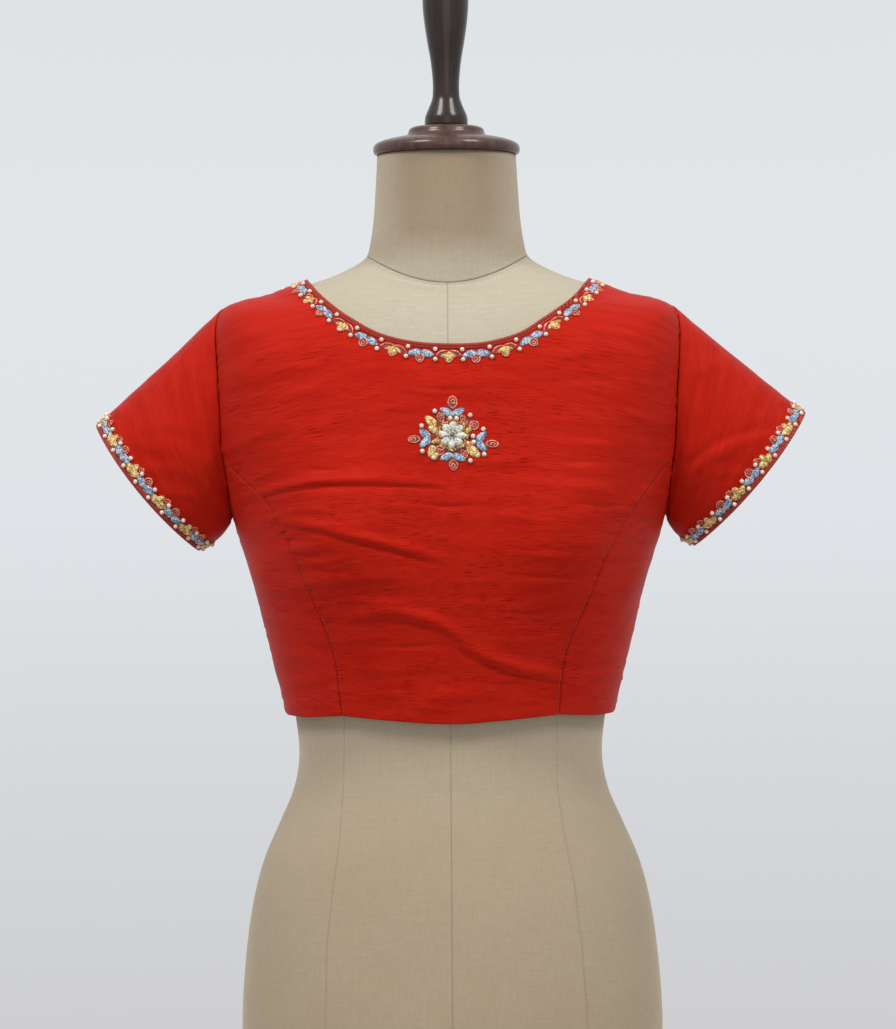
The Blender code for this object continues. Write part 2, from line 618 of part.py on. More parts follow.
def add_back_panels(material, collection):
    for side, name in ((-1, "back_left"), (1, "back_right")):
        spots = back_grid(side)
        flat = cloth_point(spots[..., 0], spots[..., 1], folded=False)
        lift = overlap_lift(flat[..., 0], side)
        inner, outer = panel_grid(spots, ("left", "top"), lift)
        add_wall(name, inner, outer, material, collection)


def sleeve_fold_height(turn, along, name):
    total = np.zeros_like(turn)
    for angle1, along1, angle2, along2, width, height in SLEEVE_FOLDS[name]:
        steps = np.linspace(0, 1, 13)
        line_turn = np.radians(angle1 + (angle2 - angle1) * steps)
        line_along = along1 + (along2 - along1) * steps
        away = np.hypot((turn[..., None] - line_turn) * 70, (along[..., None] - line_along) * 100)
        nearest = steps[np.argmin(away, axis=-1)]
        fade = 0.4 + 0.6 * np.sin(np.pi * np.clip(nearest, 0.03, 0.97))
        total = np.maximum(total, height * MM * fade * np.exp(-(away.min(axis=-1) / width) ** 2))
    return total


def cuff_point(turn, name):
    """The cuff's edge: an oval between its two corners, bowed out at the front and back."""
    top_x, top_z, bottom_x, bottom_z, half_depth, bow = (value * MM for value in CUFFS[name])
    top, bottom = np.array([top_x, top_z]), np.array([bottom_x, bottom_z])
    middle, half = (top + bottom) / 2, (top - bottom) / 2
    outward = np.array([-half[1], half[0]]) / np.linalg.norm(half)
    if outward[0] * top_x < 0:
        outward = -outward
    across = middle + half * np.cos(turn)[..., None] + outward * bow * (np.sin(turn) ** 2)[..., None]
    y = CUFF_MIDDLE_Y - half_depth * np.sin(turn)
    return np.stack([across[..., 0], y, across[..., 1]], axis=-1)


def sleeve_surface(side, name, turns, along):
    """The sleeve's inner face, as rows from the armhole to the cuff, with its outward normals."""
    spots = armhole_spots(side, turns)
    start = cloth_point(spots[:, 0], spots[:, 1])
    edge = form_normal(spots[:, 0], spots[:, 1])
    start[:, 0] += side * (SEAM_GAP + CLOTH * np.abs(edge[:, 0]))
    end = cuff_point(turns, name)
    share = along[:, None, None]
    points = start[None] * (1 - share) + end[None] * share
    turn_grid, along_grid = np.meshgrid(turns, along)
    around = np.roll(points, -1, axis=1) - np.roll(points, 1, axis=1)
    down = np.gradient(points, along, axis=0)
    normal = np.cross(around, down) * side
    normal /= np.linalg.norm(normal, axis=-1, keepdims=True)
    swell = 0.004 * np.sin(np.pi * along_grid) + sleeve_fold_height(turn_grid, along_grid, name)
    swell = swell * ease_step(0.0, 0.15, along_grid) * (1 - 0.7 * ease_step(0.8, 1.0, along_grid))
    return points + normal * swell[..., None], normal


def sleeve_walls(side, name, turns, along, low, high):
    """Two faces of a sleeve layer, between two distances out from the sleeve's inner face."""
    points, normal = sleeve_surface(side, name, turns, along)
    level = normal.copy()
    flat = normal.copy()
    flat[..., 0] = 0
    flat /= (flat ** 2).sum(-1, keepdims=True)
    blend = (1 - ease_step(0.0, 0.12, along))[:, None, None]
    level = level * (1 - blend) + flat * blend
    return points + level * low[..., None], points + level * high[..., None]


def sleeve_turns(side):
    """Turns round the sleeve that share the armhole points of the panels."""
    return np.concatenate([front_turns(side)[:-1], underarm_turns(side)[:-1], back_turns()[:-1]])


def halved(turns):
    """Turns round a sleeve with one more between each two, so that trim follows the sleeve's own columns."""
    after = np.append(turns[1:], turns[0] + 2 * math.pi)
    return np.stack([turns, (turns + after) / 2], axis=-1).ravel()


def add_sleeves(material, collection):
    for side, name in ((-1, "left"), (1, "right")):
        turns = sleeve_turns(side)
        along = np.linspace(0, 1, SLEEVE_ROWS + 1)
        shape = (len(along), len(turns))
        inner, outer = sleeve_walls(side, name, turns, along, np.zeros(shape), np.full(shape, CLOTH))
        inner, outer = (pull_in(grid, CORD_WIDTH, ("top",)) for grid in (inner, outer))
        add_wall("sleeve_" + name, inner, outer, material, collection, around=True)


def add_cord(name, points, cyclic, material, collection):
    """A corded edge: a thin round cord through the given points."""
    curve = bpy.data.curves.new(name, "CURVE")
    curve.dimensions = "3D"
    curve.bevel_depth = CORD_RADIUS
    curve.bevel_resolution = 1
    curve.use_fill_caps = not cyclic
    spline = curve.splines.new("POLY")
    spline.points.add(len(points) - 1)
    for place, point in zip(spline.points, points):
        place.co = (*point, 1.0)
    spline.use_cyclic_u = cyclic
    curve.materials.append(material)
    cord = bpy.data.objects.new(name, curve)
    collection.objects.link(cord)
    return cord


def clear_scene():
    for old in list(bpy.data.objects):
        bpy.data.objects.remove(old, do_unlink=True)


def add_neck_cord(material, collection):
    """One cord along the whole neckline, open at the centre back."""
    lines = [back_neckline(-1, FINE_LINE)[::-1], front_neckline(), back_neckline(1, FINE_LINE)]
    parts = []
    for spots in lines:
        middle = np.full(len(spots), CORD_RADIUS)
        parts.append(cloth_point(spots[:, 0], spots[:, 1], middle, folded=False))
    lift = overlap_lift(parts[2][:, 0], 1)
    parts[2][:, 1] += lift
    points = join_lines(*parts)
    shares = np.linspace(0, 1, NECK_CORD_POINTS)
    lengths = np.concatenate([[0], np.cumsum(np.linalg.norm(np.diff(points, axis=0), axis=1))])
    even = np.stack([np.interp(shares * lengths[-1], lengths, points[:, i]) for i in range(3)], axis=-1)
    add_cord("neck_piping", even, False, material, collection)


def add_cuff_cords(material, collection):
    for side, name in ((-1, "left"), (1, "right")):
        turns = np.linspace(0, 2 * math.pi, CUFF_CORD_POINTS, endpoint=False)
        middle = np.full((2, len(turns)), CLOTH / 2)
        inner, outer = sleeve_walls(side, name, turns, np.array([0.98, 1.0]), middle, middle)
        inward = inner[0] - inner[1]
        inward /= np.linalg.norm(inward, axis=-1, keepdims=True)
        add_cord("cuff_piping_" + name, inner[1] + inward * CORD_RADIUS, True, material, collection)


def unit_swell(distance):
    """Thickness of a border at a distance along it: high on a unit, low between two."""
    swell = 0.5 + 0.5 * np.cos(2 * math.pi * distance / BORDER_UNIT)
    return BORDER_LOW + (BORDER_HIGH - BORDER_LOW) * swell


def band_widths(distance):
    """Width of a border at a distance along it: its outer edge is scalloped by the units."""
    scallop = 0.5 + 0.5 * np.cos(2 * math.pi * distance / BORDER_UNIT)
    return BORDER_WIDTH * (0.82 + 0.18 * scallop)


def neck_band(spots, side, start, name, material, collection):
    """A border along a neckline: rows of points at even distances from the edge, on top of the panel."""
    edge = cloth_point(spots[:, 0], spots[:, 1], folded=False)
    lengths = np.concatenate([[0], np.cumsum(np.linalg.norm(np.diff(edge, axis=0), axis=1))])
    distance = lengths + start
    low, high = [], []
    for share in (0.0, 0.34, 0.67, 1.0):
        reach = CORD_WIDTH + band_widths(distance) * share
        walked = walk(spots, reach, side)
        across = cloth_point(walked[:, 0], walked[:, 1])[:, 0]
        raised = CLOTH + BORDER_GAP + overlap_lift(across, 1 if name.endswith("right") else -1)
        middle = 1.0 if 0 < share < 1 else EDGE_SWELL
        thick = BORDER_LOW + (unit_swell(distance) - BORDER_LOW) * middle
        low.append(cloth_point(walked[:, 0], walked[:, 1], raised))
        high.append(cloth_point(walked[:, 0], walked[:, 1], raised + thick))
    add_wall(name, np.array(low), np.array(high), material, collection)


def add_neck_borders(material, collection):
    spots, length = even_spots(front_neckline(), FRONT_BORDER_POINTS)
    start = length / (FRONT_BORDER_POINTS - 1) - length / 2
    neck_band(spots[1:-1], -1, start, "neck_border_front", material, collection)
    for side, name in ((-1, "neck_border_back_left"), (1, "neck_border_back_right")):
        spots, length = even_spots(back_neckline(side, FINE_LINE), BACK_BORDER_POINTS)
        last = -3 if side < 0 else -1
        neck_band(spots[1:last], -side, length / (BACK_BORDER_POINTS - 1), name, material, collection)


def add_cuff_borders(material, collection):
    for side, name in ((-1, "left"), (1, "right")):
        turns = halved(sleeve_turns(side))
        edge = cuff_point(turns, name)
        length = np.concatenate([[0], np.cumsum(np.linalg.norm(np.diff(edge, axis=0), axis=1))])
        whole = length[-1] + np.linalg.norm(edge[0] - edge[-1])
        units = round(whole / BORDER_UNIT)
        distance = length * (units * BORDER_UNIT / whole)
        low, high = [], []
        along = np.linspace(0.4, 1.0, BORDER_STEPS + 1)
        base = np.full((BORDER_STEPS + 1, len(turns)), CLOTH + CUFF_BORDER_GAP)
        columns = np.arange(len(turns))
        for share, middle in ((0.0, EDGE_SWELL), (0.5, 1.0), (1.0, EDGE_SWELL)):
            reach = CORD_WIDTH + BORDER_OFF_CORD + band_widths(distance) * share
            place = 1 - reach / sleeve_length(side, name, turns)
            thick = BORDER_LOW + (unit_swell(distance) - BORDER_LOW) * middle
            grid_place = (place - along[0]) / (along[-1] - along[0]) * BORDER_STEPS
            below = np.clip(grid_place.astype(int), 0, BORDER_STEPS - 1)
            part = (grid_place - below)[:, None]
            for target, grid in zip((low, high), sleeve_walls(side, name, turns, along, base, base + thick)):
                target.append(grid[below, columns] * (1 - part) + grid[below + 1, columns] * part)
        add_wall("cuff_border_" + name, np.array(low), np.array(high), material, collection, around=True)


def sleeve_length(side, name, turns):
    spots = armhole_spots(side, turns)
    start = cloth_point(spots[:, 0], spots[:, 1])
    return np.linalg.norm(cuff_point(turns, name) - start, axis=-1)


def motif_reach(turn):
    """Outline of the motif: eight arms of their own lengths with hollows between them."""
    angles = np.radians([arm[0] for arm in MOTIF_ARMS] + [360])
    lengths = np.array([arm[1] for arm in MOTIF_ARMS] + [MOTIF_ARMS[0][1]]) * MM
    smooth = np.interp(turn, angles, lengths)
    return smooth * (MOTIF_VALLEY + (1 - MOTIF_VALLEY) * (0.5 + 0.5 * np.cos(8 * turn)))


def add_motif(cloth_material, stone_material, collection):
    """The embroidered motif as a low pad on the front panel, with the stone rosette at its middle."""
    centre = np.array(MOTIF_MIDDLE) * MM
    turns = np.linspace(0, 2 * math.pi, MOTIF_POINTS, endpoint=False)
    inside = STONE_RADIUS + MOTIF_GAP
    reach = motif_reach(turns)
    low, high = [], []
    for share in (0.0, 0.5, 1.0):
        radius = inside + (reach - inside) * share
        targets = centre + np.stack([radius * np.cos(turns), radius * np.sin(turns)], axis=-1)
        spots = find_spots(targets, FRONT_AXES, FRONT_ANGLES)
        raised = CLOTH + SEAM_GAP
        thick = MOTIF_RISE if share < 1 else BORDER_LOW
        low.append(cloth_point(spots[:, 0], spots[:, 1], raised))
        high.append(cloth_point(spots[:, 0], spots[:, 1], raised + thick))
    add_wall("center_motif", np.array(low), np.array(high), cloth_material, collection, around=True)
    add_stone(centre, turns[::2], stone_material, collection)


def add_stone(centre, turns, material, collection):
    """A rosette of eight clear petals round a dark eye: one low faceted dome."""
    model = bmesh.new()
    petal = 0.5 + 0.5 * np.cos(STONE_PETALS * turns)
    rings = []
    for share, rise in ((1.0, 0.0), (1.0, 0.45), (0.72, 1.0), (0.30, 0.75)):
        radius = STONE_RADIUS * share * (0.88 + 0.12 * petal)
        targets = centre + np.stack([radius * np.cos(turns), radius * np.sin(turns)], axis=-1)
        spots = find_spots(targets, FRONT_AXES, FRONT_ANGLES)
        height = STONE_RISE * rise * (0.75 + 0.25 * petal)
        points = cloth_point(spots[:, 0], spots[:, 1], CLOTH + SEAM_GAP + height)
        rings.append([model.verts.new(point) for point in points])
    count = len(turns)
    for lower, upper in zip(rings[:-1], rings[1:]):
        for i in range(count):
            j = (i + 1) % count
            model.faces.new([lower[i], lower[j], upper[j], upper[i]])
    for ring, height in ((rings[0], 0.0), (rings[-1], STONE_RISE * 0.6)):
        spot = find_spots([centre], FRONT_AXES, FRONT_ANGLES)
        middle = model.verts.new(cloth_point(spot[:, 0], spot[:, 1], CLOTH + SEAM_GAP + height)[0])
        for i in range(count):
            model.faces.new([ring[i], ring[(i + 1) % count], middle])
    bmesh.ops.recalc_face_normals(model, faces=model.faces)
    mesh = bpy.data.meshes.new("center_stone")
    model.to_mesh(mesh)
    model.free()
    add_object("center_stone", mesh, material, collection)


def add_form(material, collection):
    """The torso: its rings lofted from the flat underside to the top of the neck."""
    angles = np.linspace(0, 2 * math.pi, FORM_SIDES, endpoint=False)
    places = np.arange(len(RINGS))
    model = bmesh.new()
    rings = [[model.verts.new(point) for point in form_point(angles, np.full(FORM_SIDES, place))]
             for place in places]
    for lower, upper in zip(rings[:-1], rings[1:]):
        for i in range(FORM_SIDES):
            j = (i + 1) % FORM_SIDES
            model.faces.new([lower[i], lower[j], upper[j], upper[i]])
    model.faces.new(rings[0])
    model.faces.new(rings[-1])
    bmesh.ops.recalc_face_normals(model, faces=model.faces)
    mesh = bpy.data.meshes.new("form_torso")
    model.to_mesh(mesh)
    model.free()
    add_object("form_torso", mesh, material, collection)


def add_turned(name, profile, height, steps, material, collection):
    """A turned piece: half its profile, spun about the form's axis by a Screw modifier."""
    mesh = bpy.data.meshes.new(name)
    outline = [(0.0, profile[-1][1])] + list(profile[::-1]) + [(0.0, profile[0][1])]
    points = [(radius * MM, 0.0, level * MM) for radius, level in outline]
    mesh.from_pydata(points, [(i, i + 1) for i in range(len(points) - 1)], [])
    turned = bpy.data.objects.new(name, mesh)
    turned.location.z = height
    collection.objects.link(turned)
    screw = turned.modifiers.new("Turn", "SCREW")
    screw.steps = steps
    screw.render_steps = steps
    screw.use_merge_vertices = True
    screw.merge_threshold = 0.00001
    screw.use_smooth_shade = True
    mesh.materials.append(material)
    return turned


def main():
    clear_scene()
    collection = bpy.data.collections.new("choli_blouse_on_dress_form")
    bpy.context.scene.collection.children.link(collection)
    silk = make_material("red_dupion_silk", (0.55, 0.022, 0.012), 0.5)
    cord = make_material("red_silk_cord", (0.42, 0.012, 0.008), 0.55)
    thread = make_material("gold_and_blue_thread", (0.62, 0.38, 0.09), 0.6)
    stone = make_material("clear_cut_stone", (0.75, 0.74, 0.66), 0.15, coat=0.5)
    linen = make_material("natural_linen", (0.52, 0.46, 0.34), 0.9)
    wood = make_material("dark_lacquered_wood", (0.035, 0.014, 0.012), 0.2, coat=0.6)
    add_form(linen, collection)
    neck_top = float(RINGS[-1][0]) * MM + SEAM_GAP
    add_turned("form_neck_cap", CAP_PROFILE, neck_top, CAP_STEPS, wood, collection)
    cap_top = neck_top + CAP_PROFILE[-1][1] * MM + SEAM_GAP
    add_turned("form_finial", FINIAL_PROFILE, cap_top, FINIAL_STEPS, wood, collection)
    add_front(silk, collection)
    add_side_panels(silk, collection)
    add_back_panels(silk, collection)
    add_sleeves(silk, collection)
    add_neck_cord(cord, collection)
    add_cuff_cords(cord, collection)
    add_neck_borders(thread, collection)
    add_cuff_borders(thread, collection)
    add_motif(thread, stone, collection)


main()
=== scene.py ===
# %% [markdown]
# A silk choli blouse on a linen dress form
#
# The real blouse is cut from red dupion silk: a front panel between two curved princess seams, two side
# panels, two back panels that overlap at the centre back, and two short set-in sleeves. A thin cord finishes
# the neck and the cuffs, and thread leaves, wire loops and pearls are sewn along them. The form under it is
# covered in natural linen, with a lacquered wooden cap and finial on its neck.
#
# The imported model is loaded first, because each piece made here has to lie where its solid lies.

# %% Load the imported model
import math

import bmesh
import bpy
import numpy as np
from mathutils import Matrix, Vector, noise
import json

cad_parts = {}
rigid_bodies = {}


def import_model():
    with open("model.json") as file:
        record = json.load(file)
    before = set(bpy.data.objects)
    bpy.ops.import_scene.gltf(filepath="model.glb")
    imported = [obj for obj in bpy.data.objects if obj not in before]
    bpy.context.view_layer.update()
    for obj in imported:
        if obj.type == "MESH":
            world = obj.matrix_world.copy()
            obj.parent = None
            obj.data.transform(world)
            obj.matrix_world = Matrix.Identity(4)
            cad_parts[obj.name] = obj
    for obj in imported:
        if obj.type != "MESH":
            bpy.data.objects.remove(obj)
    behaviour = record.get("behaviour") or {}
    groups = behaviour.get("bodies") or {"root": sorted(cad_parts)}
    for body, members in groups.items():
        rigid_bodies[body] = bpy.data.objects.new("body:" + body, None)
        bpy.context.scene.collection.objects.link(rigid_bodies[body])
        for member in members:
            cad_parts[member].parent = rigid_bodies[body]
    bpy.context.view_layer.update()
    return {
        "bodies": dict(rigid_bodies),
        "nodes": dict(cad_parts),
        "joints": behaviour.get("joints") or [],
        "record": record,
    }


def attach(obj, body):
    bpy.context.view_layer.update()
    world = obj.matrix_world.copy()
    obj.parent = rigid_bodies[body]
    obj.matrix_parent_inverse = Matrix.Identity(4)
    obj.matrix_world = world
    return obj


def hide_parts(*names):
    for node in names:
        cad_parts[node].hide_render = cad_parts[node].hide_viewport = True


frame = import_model()

# %% [markdown]
# The camera comes before the pieces. The photograph was taken from straight ahead, level with the lower bust,
# from about 3.2 m. A long lens keeps the two sleeves equally large, and a turn of less than half a degree
# gives the form the slight lean that it has in the picture.

# %% Camera
MM = 0.001
EYE = (-0.0008, -3.2, 0.4984)
FRAME_HEIGHT = 0.8232              # metres that the picture's height covers at the form's axis
SENSOR = 36.0

lens = bpy.data.cameras.new("camera")
lens.sensor_fit = "VERTICAL"
lens.sensor_height = SENSOR
lens.lens = SENSOR * -EYE[1] / FRAME_HEIGHT
camera = bpy.data.objects.new("camera", lens)
camera.location = EYE
camera.rotation_euler = (math.radians(90), math.radians(0.4), 0)
bpy.context.scene.collection.objects.link(camera)
bpy.context.scene.camera = camera
print("lens:", round(lens.lens, 1), "mm")

# %% [markdown]
# Every material below is set with sRGB hex colours, as a paint chart gives them, and one function turns them
# into the linear values that Blender mixes light with. A second small function adds a node, sets its values
# and joins its inputs, so that a material reads as a short recipe.

# %% Colour and node helpers
def linear(code):
    parts = [int(code[i:i + 2], 16) / 255 for i in (1, 3, 5)]
    return (*(p / 12.92 if p <= 0.04045 else ((p + 0.055) / 1.055) ** 2.4 for p in parts), 1.0)


def new_material(name):
    material = bpy.data.materials.new(name)
    material.use_nodes = True
    return material, material.node_tree.nodes["Principled BSDF"]


def node(material, kind, settings=None, **inputs):
    """Adds a node. settings are its own options; inputs are values or other nodes' outputs, by socket name."""
    made = material.node_tree.nodes.new(kind)
    for key, value in (settings or {}).items():
        setattr(made, key, value)
    fill(material, made, **inputs)
    return made


def fill(material, target, **inputs):
    for key, value in inputs.items():
        name = key.replace("_", " ")
        socket = target.inputs[int(name[1:])] if name[0] == "i" and name[1:].isdigit() else target.inputs[name]
        if isinstance(value, bpy.types.NodeSocket):
            material.node_tree.links.new(value, socket)
        else:
            socket.default_value = value


def stops(ramp, *places):
    """Sets a colour ramp's stops from pairs of place and colour."""
    elements = ramp.color_ramp.elements
    while len(elements) < len(places):
        elements.new(0.5)
    for element, (place, colour) in zip(elements, places):
        element.position = place
        element.color = linear(colour) if isinstance(colour, str) else (colour, colour, colour, 1.0)
    return ramp.outputs["Color"]


print("red at half strength:", [round(v, 3) for v in linear("#800000")])

# %% [markdown]
# The form is a stack of rings. Each row of the table is one ring: its height at the side, at the front and at
# the back, how far it reaches each way, and how boxy it is. Over the shoulders the rings climb at the back
# and drop at the front, like a collar. The last three columns say how far the blouse stands off the form.
# A smooth curve through the rows gives any ring between two of them, so the same table serves a fine mesh.

# %% Rings of the form
RING_COLUMNS = ("z_side", "z_front", "z_back", "half_width", "front", "back", "square",
                "ease_front", "ease_side", "ease_back")
RINGS = np.array([
    (0, 0, 0, 158.0, 98, 108, 2.3, 1, 1, 1),
    (30, 30, 30, 163.5, 101, 113, 2.3, 1, 1, 1),
    (62, 62, 62, 167.0, 103, 118, 2.3, 1, 1, 1),
    (98, 98, 98, 167.8, 103, 119, 2.3, 1, 1, 1),
    (140, 140, 140, 165.2, 101, 117, 2.3, 1, 1, 1),
    (184, 184, 184, 159.6, 98, 112, 2.3, 1, 1, 1),
    (222, 222, 222, 150.2, 94, 105, 2.3, 1, 1, 1),
    (254, 254, 254, 136.6, 90, 97, 2.3, 1, 1, 1),
    (280, 280, 280, 125.6, 86, 90, 2.3, 1, 1, 1),
    (306, 306, 306, 121.0, 84, 86, 2.3, 4, 3, 4),
    (335, 335, 335, 123.2, 86, 87, 2.3, 6, 6, 6),
    (368, 368, 368, 130.0, 92, 92, 2.3, 5, 6.2, 6),
    (408, 408, 408, 139.0, 101, 100, 2.35, 3.0, 7.0, 6),
    (448, 448, 448, 147.5, 106, 108, 2.4, 1.6, 8.2, 5),
    (484, 484, 484, 155.5, 107, 114, 2.45, 1.0, 11.5, 4),
    (522, 516, 518, 163.5, 106, 118, 2.6, 1.2, 14.0, 3),
    (560, 546, 550, 169.5, 103, 119, 2.75, 1.8, 17.0, 3.0),
    (598, 574, 582, 173.0, 99, 118, 2.8, 2.0, 16.0, 2.6),
    (630, 599, 612, 174.0, 94, 114, 2.7, 1.8, 15.0, 2.4),
    (652, 621, 640, 171.0, 88, 106, 2.5, 1.6, 13.0, 3.0),
    (664, 641, 664, 161.0, 80, 97, 2.3, 2.0, 6.0, 2.4),
    (671, 655, 684, 144.0, 72, 86, 2.15, 2.6, 2.2, 2.2),
    (679.5, 665, 699, 122.0, 65, 75, 2.05, 2.6, 1.6, 2.0),
    (688, 672, 709, 95.0, 60, 69, 2.0, 2.2, 1.4, 1.6),
    (697, 677, 716, 75.0, 57, 64, 2.0, 0.6, 0.6, 0.6),
    (705, 681, 722, 64.5, 55, 61, 2.0, 0.6, 0.6, 0.6),
    (718, 700, 733, 61.0, 54, 59, 2.0, 0.6, 0.6, 0.6),
    (736, 725, 745, 58.5, 54, 57, 2.0, 0.6, 0.6, 0.6),
    (760, 757, 763, 56.8, 54, 56, 2.0, 0.6, 0.6, 0.6),
    (785.5, 785.5, 785.5, 55.4, 54, 55, 2.0, 0.6, 0.6, 0.6),
])
BUST_SPAN, BUST_HEIGHT, BUST_RISE, BUST_SPREAD = 0.088, 0.482, 0.021, (0.050, 0.056)
BRIDGE_EASE, BRIDGE_SPREAD = 0.005, (0.036, 0.060)
REST_GAP = 0.0005                  # the least clearance between cloth and form
CLOTH = 0.0014                     # the silk with its lining


def smooth_columns(table, place):
    place = np.clip(place, 0, len(table) - 1)
    low = np.minimum(place.astype(int), len(table) - 2)
    share = (place - low)[..., None]
    padded = np.vstack([2 * table[0] - table[1], table, 2 * table[-1] - table[-2]])
    start, end = padded[low + 1], padded[low + 2]
    leave, arrive = (end - padded[low]) / 2, (padded[low + 3] - start) / 2
    square, cube = share ** 2, share ** 3
    return (start * (2 * cube - 3 * square + 1) + leave * (cube - 2 * square + share)
            + end * (3 * square - 2 * cube) + arrive * (cube - square))


def ring_sizes(ring):
    values = smooth_columns(RINGS, np.asarray(ring, float))
    sizes = {name: values[..., i] * MM for i, name in enumerate(RING_COLUMNS)}
    sizes["square"] = sizes["square"] / MM
    return sizes


def ease_step(low, high, value):
    share = np.clip((value - low) / (high - low), 0, 1)
    return share * share * (3 - 2 * share)


def form_point(angle, ring):
    """A point on the form. The angle runs from the front centre, 90 degrees being the right side."""
    size = ring_sizes(ring)
    across, ahead = np.sin(angle), np.cos(angle)
    depth = np.where(ahead > 0, size["front"], size["back"])
    sideways, endways, power = np.abs(across) / size["half_width"], np.abs(ahead) / depth, size["square"]
    reach = (sideways ** power + endways ** power) ** (-1 / power)
    x, y = reach * across, -reach * ahead
    middle = np.where(ahead > 0, size["z_front"], size["z_back"])
    z = middle + (size["z_side"] - middle) * (x / size["half_width"]) ** 2
    wide, tall = BUST_SPREAD
    mound = np.exp(-((np.abs(x) - BUST_SPAN) / wide) ** 2 - ((z - BUST_HEIGHT) / tall) ** 2)
    return np.stack([x, y - BUST_RISE * mound * ease_step(0.0, 0.5, ahead), z], axis=-1)


def form_normal(angle, ring):
    turn, rise = 1e-3, 1e-2
    around = form_point(angle + turn, ring) - form_point(angle - turn, ring)
    up = form_point(angle, ring + rise) - form_point(angle, ring - rise)
    normal = np.cross(around, up)
    return unit(normal)


def unit(vectors):
    return vectors / np.linalg.norm(vectors, axis=-1, keepdims=True)


print("chest width:", round(float(2 * form_point(np.pi / 2, 17.0)[0]), 3), "m")

# %% [markdown]
# Silk that hangs on a form never lies quite flat. The large folds follow the rows that shaped the solid, and
# the main ones at the front are drawn a little crisper.
# Under them come finer creases, laid where the photograph shows them, each a soft ridge or trough of
# its own length and height. A crease fades towards both ends, as a real one does, and the taller of two
# ridges wins where they meet. The hidden back has similar ones.

# %% Folds and creases
# Columns in millimetres: start across, up; middle across, up; end across, up; width; height.
FRONT_FOLDS = (
    (-146, 515, -100, 529, -10, 522, 4.0, 2.4),
    (-134, 498, -78, 484, -8, 466, 4.4, 2.7),
    (-66, 424, -18, 430, 16, 398, 5.2, 2.9),
    (10, 400, 40, 380, 86, 374, 5.0, 2.5),
    (-118, 470, -104, 478, -84, 482, 6, 1.8),
    (-112, 446, -98, 452, -80, 452, 6, 1.6),
    (128, 500, 142, 510, 150, 524, 6, 2.0),
    (88, 470, 112, 478, 122, 480, 7, 1.6),
    (-24, 602, 0, 597, 28, 601, 8, 1.4),
    (78, 618, 104, 622, 130, 624, 7, 1.6),
    (-160, 556, -130, 568, -104, 580, 9, 1.6),
    (-20, 361, 2, 356, 28, 361, 7, 1.8),
    (-164, 600, -140, 612, -118, 632, 9, 1.2),
    (-146, 470, -140, 452, -132, 430, 8, 2.2),
    (146, 472, 140, 450, 128, 426, 8, 2.4),
)
BACK_FOLDS = (
    (-150, 540, -110, 520, -60, 506, 10, 2.6),
    (150, 538, 112, 516, 58, 500, 10, 2.6),
    (-120, 450, -70, 440, -14, 446, 9, 2.4),
    (118, 446, 72, 434, 20, 438, 9, 2.6),
    (-112, 400, -70, 392, -30, 398, 8, 2.4),
    (110, 396, 70, 386, 30, 390, 8, 2.2),
    (-120, 600, -70, 590, -24, 596, 10, 1.8),
    (118, 602, 70, 592, 24, 598, 10, 1.6),
)
